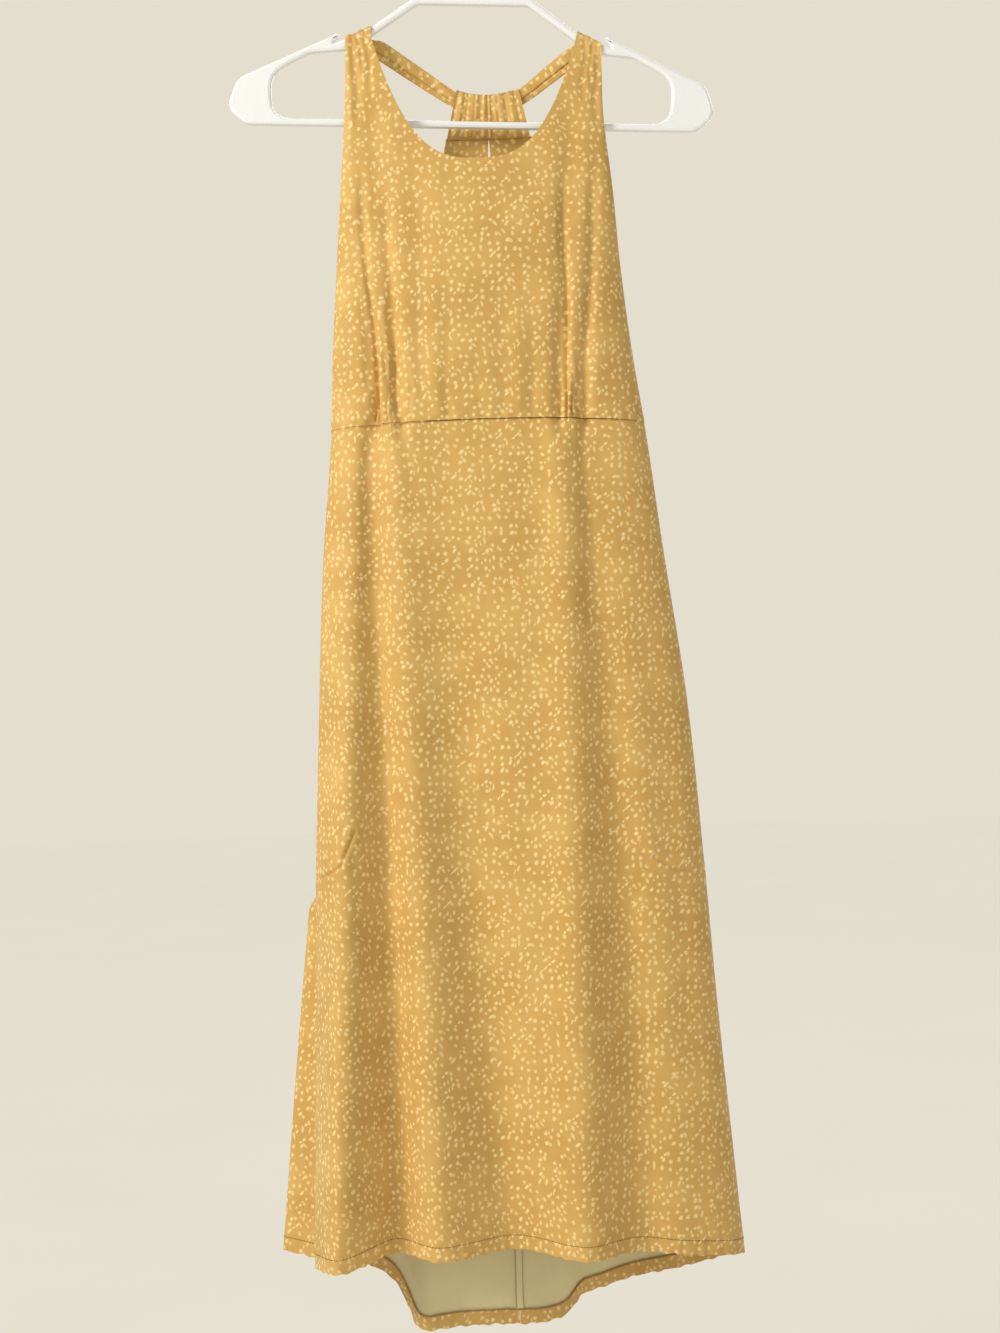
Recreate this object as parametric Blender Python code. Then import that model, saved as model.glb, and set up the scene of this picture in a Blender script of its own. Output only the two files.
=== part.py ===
"""A jersey sundress hung on a one-piece plastic hanger.

Frame: metres, +Z up, the dress faces -Y, +X is to the right of someone looking at its front.
The origin is the bearing point of the hanger's hook: the inside of the hook's top, on its middle line.

The dress is one tube of cloth below the arms. SECTIONS gives the tube's outline at a few heights, and
FOLDS the ridges and valleys that run down it. Every panel is a stretch of that one surface, cut at
its seams, so neighbours meet edge to edge with SEAM_GAP between them.
"""
import math

import bmesh
import bpy
import numpy as np

# ---------------------------------------------------------------- cloth
CLOTH = 0.0015            # wall of one layer of jersey
SEAM_GAP = 0.0004         # between two panels at a seam
LAYER_GAP = 0.0003        # between a layer and what lies on it
HEM_DEPTH = 0.0127        # the turned-up hem
HEM_CLOTH = 0.0010
FLOUNCE_COLUMNS = {"right": 24, "left": 36}
ALLOWANCE_SHARE = 0.45    # width of the centre-back allowance, as a share of a flounce column
ALLOWANCE_LIFT = 0.03     # how far it stops above the hem's band, as a share of its last row

# ---------------------------------------------------------------- heights below the hook
UNDERARM = -0.310
WAIST = -0.443            # empire seam at the centre front
WAIST_SIDE_DROP = 0.004
FLOUNCE_SEAM = -0.838     # where the back flounce joins, level with the front slash seams
HEM_FRONT = -1.156
HEM_SIDE = -1.173
HEM_BACK = -1.240
TUBE_TOP = -0.095
TUBE_BOTTOM = -1.260

# The flounce's lower edge by turn, from the right side seam (1) round the back to the left one (2).
BACK_HEM_COLUMNS = ("turn", "height")
BACK_HEM = (
    (1.00, -1.174),
    (1.14, -1.199),
    (1.29, -1.220),
    (1.348, -1.228),
    (1.383, -1.236),
    (1.50, HEM_BACK),
    (1.60, -1.239),
    (1.645, -1.237),
    (1.675, -1.222),
    (1.70, -1.205),
    (1.75, -1.189),
    (1.80, -1.178),
    (1.92, -1.168),
    (2.00, -1.171),
)

# Outline of the tube: the height of the section, the left and right edges, then how far back the
# side seam, the front and the back lie.
SECTION_COLUMNS = ("height", "left", "right", "side", "front", "back")
SECTIONS = (
    (-0.095, -0.1155, 0.1075, -0.0055, -0.0055, 0.0080),
    (-0.125, -0.1158, 0.1075, -0.0070, -0.0090, 0.0110),
    (-0.172, -0.1177, 0.1072, -0.0085, -0.0160, 0.0150),
    (-0.246, -0.1238, 0.1140, -0.0060, -0.0240, 0.0200),
    (-0.305, -0.1291, 0.1184, -0.0010, -0.0290, 0.0240),
    (-0.383, -0.1352, 0.1266, 0.0000, -0.0310, 0.0260),
    (-0.443, -0.1380, 0.1350, 0.0000, -0.0300, 0.0260),
    (-0.559, -0.1483, 0.1490, 0.0000, -0.0340, 0.0300),
    (-0.681, -0.1553, 0.1650, 0.0000, -0.0380, 0.0340),
    (-0.838, -0.1632, 0.1771, 0.0000, -0.0420, 0.0380),
    (-0.943, -0.1667, 0.1836, 0.0000, -0.0440, 0.0420),
    (-1.100, -0.1719, 0.1957, 0.0000, -0.0460, 0.0460),
    (-1.260, -0.1775, 0.2085, 0.0000, -0.0480, 0.0500),
)
ROUNDNESS = 2.5           # exponent of the superellipse that each half section follows

# Ridges (depth above 0) and valleys (below 0). "at" is the fold's place along its face: x on the
# front and the back, y on the left and the right. "width" is its half width, and "squareness" the
# power in its bell: 2 is a soft round fold and 12 a flat-bottomed one. Above its top it fades out over
# the height "fade".
FOLD_COLUMNS = ("name", "face", "top", "bottom", "at_top", "at_bottom",
                "depth_top", "depth_bottom", "width_top", "width_bottom", "squareness", "fade")
FOLDS = (
    ("bodice_left_outer", "front", -0.200, -0.440, -0.100, -0.096, 0.000, -0.005, 0.010, 0.005, 2, 0.030),
    ("bodice_left_inner", "front", -0.180, -0.440, -0.093, -0.076, -0.002, -0.005, 0.011, 0.006, 2, 0.030),
    ("bodice_right_inner", "front", -0.190, -0.440, 0.078, 0.060, -0.002, -0.005, 0.011, 0.006, 2, 0.030),
    ("bodice_right_outer", "front", -0.230, -0.440, 0.094, 0.082, 0.000, -0.004, 0.010, 0.006, 2, 0.030),
    ("left_front_ridge", "front", -0.445, -1.260, -0.118, -0.157, 0.002, 0.034, 0.016, 0.030, 2, 0.030),
    ("left_front_valley", "front", -0.445, -1.260, -0.101, -0.098, -0.004, -0.022, 0.010, 0.022, 2, 0.030),
    ("left_middle_ridge", "front", -0.445, -1.260, -0.082, -0.060, 0.003, 0.010, 0.018, 0.024, 2, 0.030),
    ("middle_valley", "front", -0.560, -1.260, -0.045, 0.010, 0.000, -0.024, 0.030, 0.030, 2, 0.030),
    ("right_middle_ridge", "front", -0.445, -1.260, 0.064, 0.062, 0.004, 0.017, 0.018, 0.028, 2, 0.030),
    ("right_front_valley", "front", -0.445, -1.260, 0.084, 0.114, -0.002, -0.012, 0.016, 0.026, 2, 0.030),
    ("flounce_ridge", "left", -0.868, -1.260, 0.025, 0.031, 0.024, 0.0600, 0.0155, 0.0205, 2, 0.030),
    ("flounce_tuck", "left", -0.870, -1.260, 0.004, 0.004, -0.005, -0.012, 0.009, 0.010, 2, 0.030),
    ("back_left_valley", "back", -0.480, -0.960, -0.060, -0.080, -0.002, -0.012, 0.020, 0.022, 2, 0.030),
    ("back_hollow", "back", -0.700, -1.260, -0.014, -0.017, -0.002, -0.026, 0.060, 0.0720, 12, 0.030),
    ("back_right_ridge", "back", -0.480, -1.260, 0.070, 0.110, 0.002, 0.008, 0.022, 0.030, 2, 0.030),
)
SIDE_FROM = 0.5           # share of the half width from which a fold on a side is felt

# ---------------------------------------------------------------- neckline, lobes and back
NECK_MIDDLE = -0.003      # x of the neckline's lowest point
NECK_BOTTOM = -0.2166
NECK_HALF_WIDTH = 0.090
NECK_RISE = 0.112
NECK_POWER = 2.90         # the scoop rises with this power of the distance from its middle
LOBE_BACK_DROP = 0.002    # how far a lobe comes down behind the rail
CENTRE_BACK_TOP = 0.007   # x of the centre back at the casing
CENTRE_BACK_HEM = 0.004
CASING_TOP = -0.145
CASING_DIP = 0.005
CASING_BOTTOM = -0.190
CASING_HALF_TOP = 0.027
CASING_HALF_BOTTOM = 0.037
CASING_DEPTH = 0.009
CASING_MIDDLE = 0.0152    # how far back its middle lies
KEYHOLE_BOTTOM = -0.246
KEYHOLE_HALF_WIDTH = 0.002

# The racer back: how far its edge lies from the centre back, by height.
RACER_COLUMNS = ("height", "half_width")
RACER_EDGE = (
    (-0.190, 0.038),
    (-0.203, 0.041),
    (-0.230, 0.050),
    (-0.260, 0.066),
    (-0.285, 0.090),
    (-0.302, 0.116),
    (-0.310, 0.140),
)

# Straps from behind the lobes to the casing: the middle of each section, the angle of its width in
# the plane of the hanger (0 is along +X, positive towards +Z) and its half width. Left side.
STRAP_COLUMNS = ("x", "y", "z", "angle_deg", "half_width")
STRAP_LEFT = (
    (-0.1040, 0.0057, -0.1051, 22.0, 0.0112),
    (-0.0965, 0.0068, -0.1078, 40.0, 0.0118),
    (-0.0860, 0.0085, -0.1112, 56.0, 0.0116),
    (-0.0600, 0.0118, -0.1285, 57.0, 0.0098),
    (-0.0300, 0.0147, -0.1488, 60.0, 0.0062),
    (-0.0120, 0.0152, -0.1595, 62.0, 0.0054),
)
STRAP_RIGHT = (
    (0.0965, 0.0057, -0.1157, -27.0, 0.0112),
    (0.0890, 0.0068, -0.1185, -44.0, 0.0115),
    (0.0790, 0.0085, -0.1240, -57.0, 0.0112),
    (0.0600, 0.0118, -0.1368, -58.0, 0.0094),
    (0.0430, 0.0147, -0.1488, -60.0, 0.0062),
    (0.0250, 0.0152, -0.1602, -62.0, 0.0054),
)
STRAP_THICKNESS = 0.0030

# ---------------------------------------------------------------- hanger
HANGER_TILT = math.radians(2.65)     # its right end hangs low
HANGER_HALF_THICKNESS = 0.0035
HANGER_ROUNDING = 0.0024
HOOK_WIRE = 0.0035
HOOK_RADIUS = 0.0185                 # inside the hook
HOOK_STEM_FOOT = 0.0702              # below the bearing point, just above the arch

# Right half of the outer and inner outlines of the hanger's frame: distance out from its middle,
# distance below the bearing point, and the radius of the corner, each with the corner's name.
HANGER_OUTER = (
    ("arch_shoulder", 0.0505, 0.0705, 0.0140),
    ("arch_foot", 0.0895, 0.0985, 0.0050),
    ("notch", 0.1225, 0.1137, 0.0020),
    ("lip_under", 0.1175, 0.1072, 0.0010),
    ("lip_tip", 0.1158, 0.1028, 0.0018),
    ("spade_top", 0.2050, 0.1445, 0.0160),
    ("spade_end", 0.2140, 0.1710, 0.0150),
    ("spade_bottom", 0.1960, 0.1850, 0.0140),
)
HANGER_INNER = (
    ("arch_shoulder", 0.0485, 0.0775, 0.0100),
    ("arch_foot", 0.0850, 0.1035, 0.0060),
    ("rail", 0.1050, 0.1180, 0.0100),
    ("window_top", 0.1420, 0.1215, 0.0200),
    ("window_end", 0.1760, 0.1400, 0.0220),
    ("window_bottom", 0.1740, 0.1788, 0.0180),
)
SADDLE_OUT = (0.0900, 0.1150)        # the stretch of the rail that a lobe lies on
SADDLE_DOWN = (0.1027, 0.1142)       # the rail's middle line there
SADDLE_REACH = 0.0055                # outer face of the lobe from the rail's middle line, along Y
SADDLE_RISE = 0.0060                 # and straight up
SADDLE_SQUARENESS = 0.7              # below 1, the lobe goes over the rail with squarer shoulders

COLOURS = {
    "cloth": ((0.62, 0.40, 0.13), 0.75),
    "wrong_side": ((0.62, 0.52, 0.27), 0.80),
    "plastic": ((0.86, 0.86, 0.85), 0.25),
}


# ================================================================ small tools
def clear_scene():
    for thing in list(bpy.data.objects):
        bpy.data.objects.remove(thing, do_unlink=True)


def column(table, names, name):
    return np.array([row[names.index(name)] for row in table])


def smooth_curve(x_known, y_known, x):
    """Cubic curve through known points, with x_known rising."""
    slope = np.gradient(y_known, x_known)
    x = np.clip(x, x_known[0], x_known[-1])
    i = np.clip(np.searchsorted(x_known, x) - 1, 0, len(x_known) - 2)
    span = x_known[i + 1] - x_known[i]
    t = (x - x_known[i]) / span
    return ((1 + 2 * t) * (1 - t) ** 2 * y_known[i] + t * (1 - t) ** 2 * span * slope[i]
            + t * t * (3 - 2 * t) * y_known[i + 1] - t * t * (1 - t) * span * slope[i + 1])


def ease(t):
    t = np.clip(t, 0.0, 1.0)
    return t * t * (3 - 2 * t)


def outline_at(name, z):
    heights = column(SECTIONS, SECTION_COLUMNS, "height")[::-1]
    return smooth_curve(heights, column(SECTIONS, SECTION_COLUMNS, name)[::-1], z)


# ================================================================ the one surface of the dress
class Tube:
    """The outer face of the dress as a lattice of points over height and turn.

    turn runs 0 to 1 over the front from the left side to the right, and 1 to 2 over the back from
    the right side to the left, evenly along the cloth of each half.
    """

    def __init__(self, rows=220, columns=160):
        self.heights = np.linspace(TUBE_TOP, TUBE_BOTTOM, rows)
        self.turns = np.linspace(0.0, 2.0, 2 * columns + 1)
        self.points = np.zeros((rows, 2 * columns + 1, 3))
        share = np.linspace(0.0, 1.0, columns + 1)
        for r, z in enumerate(self.heights):
            for half in (0, 1):
                x, y = self.section(z, half)
                length = np.concatenate(([0], np.cumsum(np.hypot(np.diff(x), np.diff(y)))))
                here = slice(half * columns, (half + 1) * columns + 1)
                self.points[r, here, 0] = np.interp(share * length[-1], length, x)
                self.points[r, here, 1] = np.interp(share * length[-1], length, y)
                self.points[r, here, 2] = z
        along = np.gradient(self.points, axis=1)
        along[:, 0] = along[:, -1] = along[:, 1] + along[:, -2]
        up = -np.gradient(self.points, axis=0)
        normals = np.cross(along, up)
        self.normals = normals / np.linalg.norm(normals, axis=2, keepdims=True)

    def section(self, z, half):
        """x and y of the front half (0) or the back half (1) at one height."""
        angle = np.linspace(0.0, math.pi, 1201)
        across = -np.sign(np.cos(angle)) * np.abs(np.cos(angle)) ** (2 / ROUNDNESS)
        bulge = np.sin(angle) ** (2 / ROUNDNESS)
        if half:
            across = -across
        left, right = outline_at("left", z), outline_at("right", z)
        side = outline_at("side", z)
        reach = outline_at("back" if half else "front", z)
        x = (left + right) / 2 + (right - left) / 2 * across
        y = side + (reach - side) * bulge
        x_plain, y_plain = x.copy(), y.copy()
        for row in FOLDS:
            fold = dict(zip(FOLD_COLUMNS, row))
            t = np.clip((z - fold["top"]) / (fold["bottom"] - fold["top"]), 0.0, 1.0)
            place = fold["at_top"] + (fold["at_bottom"] - fold["at_top"]) * t
            width = fold["width_top"] + (fold["width_bottom"] - fold["width_top"]) * t
            depth = fold["depth_top"] + (fold["depth_bottom"] - fold["depth_top"]) * t
            depth = depth * float(ease(1 - (z - fold["top"]) / fold["fade"]))
            if fold["bottom"] > WAIST - 0.02:
                depth = depth * float(ease(1 - (fold["bottom"] - z) / fold["fade"]))
            if fold["face"] == ("back" if half else "front"):
                bell = np.exp(-np.abs((x_plain - place) / width) ** fold["squareness"])
                y = y + (1 if half else -1) * depth * bell * np.minimum(1.0, 1.6 * bulge)
            elif fold["face"] in ("left", "right"):
                towards = -across if fold["face"] == "left" else across
                on_side = (towards - SIDE_FROM) / (1 - SIDE_FROM)
                bell = np.exp(-np.abs((y_plain - place) / width) ** fold["squareness"])
                x = x + (-1 if fold["face"] == "left" else 1) * depth * bell * ease(on_side)
        return x, y

    def look_up(self, values, turn, z):
        """Bilinear reading of a lattice of values at any turns and heights."""
        rows, columns = values.shape[:2]
        r = np.clip((z - TUBE_TOP) / (TUBE_BOTTOM - TUBE_TOP), 0, 1) * (rows - 1)
        c = np.clip(turn / 2, 0, 1) * (columns - 1)
        r0 = np.minimum(r.astype(int), rows - 2)
        c0 = np.minimum(c.astype(int), columns - 2)
        fr, fc = (r - r0)[..., None], (c - c0)[..., None]
        return ((values[r0, c0] * (1 - fc) + values[r0, c0 + 1] * fc) * (1 - fr)
                + (values[r0 + 1, c0] * (1 - fc) + values[r0 + 1, c0 + 1] * fc) * fr)

    def place(self, turn, z):
        turn, z = np.broadcast_arrays(np.asarray(turn, float), np.asarray(z, float))
        normal = self.look_up(self.normals, turn, z)
        return self.look_up(self.points, turn, z), normal / np.linalg.norm(
            normal, axis=-1, keepdims=True)

    def turn_at(self, x, z, back=False):
        """The turn at which the front, or the back, passes over x at height z."""
        turns = np.linspace(1.0, 2.0, 401) if back else np.linspace(0.0, 1.0, 401)
        xs = self.place(turns, np.full(401, z))[0][:, 0]
        if back:
            return float(np.interp(-x, -xs, turns))
        return float(np.interp(x, xs, turns))

    def gap_turn(self, distance, turn, z):
        """How much turn is worth a distance along the cloth."""
        step = 0.002
        a = self.place(turn - step if turn > step else turn, z)[0]
        b = self.place(turn + step if turn < 2 - step else turn, z)[0]
        return distance * 2 * step / max(float(np.linalg.norm(b - a)), 1e-6)


# ================================================================ solids from points
def new_object(name, mesh, collection, kind):
    colour, roughness = COLOURS[kind]
    thing = bpy.data.objects.new(name, mesh)
    collection.objects.link(thing)
    material = bpy.data.materials.new(name + "_" + kind)
    material.use_nodes = True
    shader = material.node_tree.nodes["Principled BSDF"]
    shader.inputs["Base Color"].default_value = (*colour, 1.0)
    shader.inputs["Roughness"].default_value = roughness
    shader.inputs["Metallic"].default_value = 0.0
    mesh.materials.append(material)
    return thing


def walled_sheet(name, points, normals, collection, kind="cloth", wall=CLOTH, inset=0.0, kept=None):
    """A wall of cloth on a grid of points: rows run down, columns run with the turn.

    kept marks the cells that are there, so that a sheet can have a notch.
    """
    rows, columns = points.shape[:2]
    if kept is None:
        kept = np.ones((rows - 1, columns - 1), bool)
    outer = points - inset * normals
    inner = outer - wall * normals
    work = bmesh.new()
    used = np.zeros((rows, columns), bool)
    for r, c in zip(*np.nonzero(kept)):
        used[r:r + 2, c:c + 2] = True
    layers = []
    for layer in (outer, inner):
        layers.append({(r, c): work.verts.new(layer[r, c]) for r, c in zip(*np.nonzero(used))})
    edges = {}
    for r, c in zip(*np.nonzero(kept)):
        corners = [(r, c), (r + 1, c), (r + 1, c + 1), (r, c + 1)]
        work.faces.new([layers[0][k] for k in corners])
        work.faces.new([layers[1][k] for k in reversed(corners)])
        for a, b in zip(corners, corners[1:] + corners[:1]):
            if (b, a) in edges:
                del edges[(b, a)]
            else:
                edges[(a, b)] = True
    for a, b in edges:
        work.faces.new([layers[0][b], layers[0][a], layers[1][a], layers[1][b]])
    bmesh.ops.recalc_face_normals(work, faces=work.faces)
    mesh = bpy.data.meshes.new(name)
    work.to_mesh(mesh)
    work.free()
    thing = new_object(name, mesh, collection, kind)
    mesh.shade_smooth()
    mesh.set_sharp_from_angle(angle=math.radians(50))
    return thing


def lofted_rings(name, rings, collection, kind="cloth", closed_ends=True):
    """A closed solid through rings of equal count, or a tube whose last ring meets its first."""
    work = bmesh.new()
    loops = [[work.verts.new(p) for p in ring] for ring in rings]
    count = len(loops[0])
    pairs = list(zip(loops, loops[1:]))
    if not closed_ends:
        pairs.append((loops[-1], loops[0]))
    for a, b in pairs:
        for i in range(count):
            j = (i + 1) % count
            work.faces.new([a[i], a[j], b[j], b[i]])
    if closed_ends:
        work.faces.new(list(reversed(loops[0])))
        work.faces.new(loops[-1])
    bmesh.ops.recalc_face_normals(work, faces=work.faces)
    mesh = bpy.data.meshes.new(name)
    work.to_mesh(mesh)
    work.free()
    thing = new_object(name, mesh, collection, kind)
    mesh.shade_smooth()
    mesh.set_sharp_from_angle(angle=math.radians(50))
    return thing


# ================================================================ lines that the panels are cut on
def waist_height(turn):
    """The empire seam, a little lower towards the side seams."""
    return WAIST - WAIST_SIDE_DROP * np.abs(2 * (np.asarray(turn) % 1.0) - 1) ** 2


def front_hem_height(turn):
    return HEM_FRONT + (HEM_SIDE - HEM_FRONT) * np.abs(2 * np.asarray(turn) - 1) ** 3


def back_hem_height(turn):
    return smooth_curve(column(BACK_HEM, BACK_HEM_COLUMNS, "turn"),
                        column(BACK_HEM, BACK_HEM_COLUMNS, "height"), np.asarray(turn, float))


def centre_back(z):
    share = (z - CASING_TOP) / (HEM_BACK - CASING_TOP)
    return CENTRE_BACK_TOP + (CENTRE_BACK_HEM - CENTRE_BACK_TOP) * share


def on_hanger(out, down):
    """A point of the hanger's own plane, tilted about the hook."""
    cosine, sine = math.cos(HANGER_TILT), math.sin(HANGER_TILT)
    return out * cosine - down * sine, -out * sine - down * cosine


def saddle_height(x, side):
    """Height of the rail's middle line under the left (-1) or the right (1) lobe."""
    inner = on_hanger(side * SADDLE_OUT[0], SADDLE_DOWN[0])
    outer = on_hanger(side * SADDLE_OUT[1], SADDLE_DOWN[1])
    return inner[1] + (outer[1] - inner[1]) * (x - inner[0]) / (outer[0] - inner[0])


# ================================================================ panels
def front_bodice(tube, collection, lobe_columns=4, neck_columns=18, rows=15, over_rows=9):
    """One panel from the empire seam to the neckline, whose two lobes go over the hanger."""
    reach = NECK_HALF_WIDTH
    left_edge, right_edge = outline_at("left", -0.105), outline_at("right", -0.115)
    left_inner, right_inner = NECK_MIDDLE - reach, NECK_MIDDLE + reach
    xs, zs = [], []
    for x in np.linspace(left_edge, left_inner, lobe_columns + 1):
        xs.append(x)
        zs.append(saddle_height(x, -1))
    angles = np.linspace(-1.0, 1.0, neck_columns + 1)[1:-1]
    for a in angles:
        share = math.copysign(abs(math.sin(a * math.pi / 2)) ** 0.8, a)
        xs.append(NECK_MIDDLE + reach * share)
        zs.append(NECK_BOTTOM + NECK_RISE * abs(share) ** NECK_POWER)
    for x in np.linspace(right_inner, right_edge, lobe_columns + 1):
        xs.append(x)
        zs.append(saddle_height(x, 1))
    xs, zs = np.array(xs), np.array(zs)
    columns = len(xs)
    top_turn = np.array([tube.turn_at(x, z) for x, z in zip(xs, zs)])
    top_turn[0], top_turn[-1] = 0.0, 1.0
    bottom_turn = np.linspace(0.0, 1.0, columns) * 0.5 + top_turn * 0.5
    gap = tube.gap_turn(SEAM_GAP / 2, 0.02, WAIST)
    bottom_turn = gap + bottom_turn * (1 - 2 * gap)
    top_turn = gap + top_turn * (1 - 2 * gap)
    down = np.linspace(0.0, 1.0, rows) ** 0.9
    turn = top_turn[None, :] + (bottom_turn - top_turn)[None, :] * down[:, None]
    seam = waist_height(bottom_turn) + SEAM_GAP / 2
    z = zs[None, :] + (seam - zs)[None, :] * down[:, None]
    points, normals = tube.place(turn, z)
    over_points, over_normals = [], []
    for k in range(over_rows, 0, -1):
        angle = math.pi * min(k / (over_rows - 1), 1.0)
        drop = LOBE_BACK_DROP if k == over_rows else 0.0
        row = points[0].copy()
        forward = math.copysign(abs(math.cos(angle)) ** SADDLE_SQUARENESS, math.cos(angle))
        row[:, 1] = -SADDLE_REACH * forward
        row[:, 2] = zs + SADDLE_RISE * max(math.sin(angle), 0.0) ** SADDLE_SQUARENESS - drop
        over_points.append(row)
        direction = np.array([0.0, -math.cos(angle), math.sin(angle)])
        over_normals.append(np.tile(direction, (columns, 1)))
    points[0, :, 1] = np.where((xs < left_inner + 1e-6) | (xs > right_inner - 1e-6),
                               -SADDLE_REACH, points[0, :, 1])
    points = np.concatenate((np.array(over_points), points))
    normals = np.concatenate((np.array(over_normals), normals))
    kept = np.ones((points.shape[0] - 1, columns - 1), bool)
    kept[:over_rows, lobe_columns:columns - 1 - lobe_columns] = False
    return walled_sheet("front_bodice", points, normals, collection, kept=kept)


def tube_panel(name, tube, collection, turn_left, turn_right, top, bottom, rows, columns, hemmed=False):
    """A panel between two turns, which may lean with the height, and two heights.

    A hemmed panel has its last row of cells as deep as the hem. Its points and normals are returned.
    """
    across = np.linspace(0.0, 1.0, columns)
    middle_height = top(1.5)
    start, end = turn_left(middle_height), turn_right(middle_height)
    middle = start + (end - start) * across
    z_top, z_bottom = top(middle), bottom(middle)
    down = np.linspace(0.0, 1.0, rows)
    if hemmed:
        z_last = z_bottom + HEM_DEPTH
        z = z_top[None, :] + (z_last - z_top)[None, :] * down[:, None]
        z = np.vstack((z, z_bottom[None, :]))
    else:
        z = z_top[None, :] + (z_bottom - z_top)[None, :] * down[:, None]
    turn = np.zeros_like(z)
    for r, c in np.ndindex(*z.shape):
        first, last = turn_left(z[r, c]), turn_right(z[r, c])
        turn[r, c] = first + (last - first) * across[c]
    points, normals = tube.place(turn, z)
    walled_sheet(name, points, normals, collection)
    return points, normals


def level(value):
    return lambda turn: value + 0.0 * np.asarray(turn)


def build_skirt(tube, collection):
    """Front skirt, the two halves of the back skirt and of the back flounce, and their hems."""
    side_gap = tube.gap_turn(SEAM_GAP / 2, 0.02, FLOUNCE_SEAM)
    middle_gap = tube.gap_turn(SEAM_GAP / 2, 1.5, FLOUNCE_SEAM)

    def seam_turn(shift):
        return lambda z: tube.turn_at(centre_back(z), z, back=True) + shift

    def fixed(turn):
        return lambda z: turn

    def under_waist(turn):
        return waist_height(turn) - SEAM_GAP / 2

    front = tube_panel("front_skirt", tube, collection, fixed(side_gap), fixed(1 - side_gap),
                       under_waist, front_hem_height, 13, 39, hemmed=True)
    turned_up_hem("front_hem", front, collection)
    halves = {"right": (fixed(1 + side_gap), seam_turn(-middle_gap)),
              "left": (seam_turn(middle_gap), fixed(2 - side_gap))}
    flounces = {}
    for side, (first, last) in halves.items():
        tube_panel("back_skirt_" + side, tube, collection, first, last, under_waist,
                   level(FLOUNCE_SEAM + SEAM_GAP / 2), 8, 13)
        flounces[side] = tube_panel("back_flounce_" + side, tube, collection, first, last,
                                    level(FLOUNCE_SEAM - SEAM_GAP / 2), back_hem_height, 8,
                                    FLOUNCE_COLUMNS[side], hemmed=True)
        turned_up_hem("back_hem_" + side, flounces[side], collection)
    seam_allowance(flounces, collection)


def turned_up_hem(name, panel, collection):
    """The band inside a panel's lowest row of cells, made from the panel's own points."""
    points, normals = (values[-2:].copy() for values in panel)
    points[1] += (points[0] - points[1]) * (LAYER_GAP / HEM_DEPTH)
    walled_sheet(name, points, normals, collection, wall=HEM_CLOTH, inset=CLOTH + LAYER_GAP)


def seam_allowance(flounces, collection):
    """The pressed seam allowance inside the flounce's centre back, down to the hem's band."""
    strips = []
    for values in range(2):
        right, left = flounces["right"][values][:-1], flounces["left"][values][:-1]
        outer_right = right[:, -1] + (right[:, -2] - right[:, -1]) * ALLOWANCE_SHARE
        outer_left = left[:, 0] + (left[:, 1] - left[:, 0]) * ALLOWANCE_SHARE
        strips.append(np.stack((outer_right, right[:, -1], left[:, 0], outer_left), axis=1))
    points, normals = strips
    points[-1] += (points[-2] - points[-1]) * ALLOWANCE_LIFT
    walled_sheet("back_seam_allowance", points, normals, collection, "wrong_side", HEM_CLOTH,
                 CLOTH + LAYER_GAP)


def back_bodice(tube, collection, side, rows=15, columns=8):
    """Half of the racer back, from the casing to the empire seam, with half of the keyhole."""
    heights = column(RACER_EDGE, RACER_COLUMNS, "height")[::-1]
    widths = column(RACER_EDGE, RACER_COLUMNS, "half_width")[::-1]
    sign = -1 if side == "left" else 1
    above = np.linspace(CASING_BOTTOM - SEAM_GAP, UNDERARM, rows - 4)
    heights_down = np.concatenate((above, np.linspace(UNDERARM, WAIST + SEAM_GAP / 2, 5)[1:]))
    turn = np.zeros((rows, columns))
    z = np.zeros((rows, columns))
    for r, height in enumerate(heights_down):
        slit = KEYHOLE_HALF_WIDTH * math.sqrt(max(0.0, (height - KEYHOLE_BOTTOM) / 0.05))
        inner_x = centre_back(height) + sign * (min(slit, KEYHOLE_HALF_WIDTH) + SEAM_GAP / 2)
        inner = tube.turn_at(inner_x, height, back=True)
        side_turn = 2.0 if side == "left" else 1.0
        outer = side_turn + sign * tube.gap_turn(SEAM_GAP / 2, 1.02, height)
        if height > UNDERARM:
            edge = centre_back(height) + sign * float(smooth_curve(heights, widths, height))
            edge_turn = tube.turn_at(edge, height, back=True)
            outer = min(outer, edge_turn) if side == "left" else max(outer, edge_turn)
        turn[r] = np.linspace(inner, outer, columns)
        z[r] = height
        if r == rows - 1:
            z[r] = waist_height(turn[r]) + SEAM_GAP / 2
    if side == "right":
        turn, z = turn[:, ::-1], z[:, ::-1]
    points, normals = tube.place(turn, z)
    return walled_sheet("back_bodice_" + side, points, normals, collection)


def back_casing(collection, around=14, along=9):
    """The gathered channel at the top of the back that the straps run into: a flat open tube."""
    shares = np.linspace(-1.0, 1.0, along)
    rings = []
    for wall, order in ((0.0, shares), (CLOTH, shares[::-1])):
        for share in order:
            ring = []
            dip = CASING_DIP * (1 - share * share)
            top, bottom = CASING_TOP - dip - wall, CASING_BOTTOM + wall
            for k in range(around):
                angle = 2 * math.pi * k / around
                rise = math.copysign(abs(math.sin(angle)) ** 0.6, math.sin(angle))
                z = (top + bottom) / 2 + (top - bottom) / 2 * rise
                widen = (CASING_TOP - z) / (CASING_TOP - CASING_BOTTOM)
                half = CASING_HALF_TOP + (CASING_HALF_BOTTOM - CASING_HALF_TOP) * widen
                x = centre_back(z) + share * half
                y = CASING_MIDDLE + (CASING_DEPTH / 2 - wall) * math.cos(angle)
                ring.append((x, y, z))
            rings.append(ring)
    return lofted_rings("back_casing", rings, collection, closed_ends=False)


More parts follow.
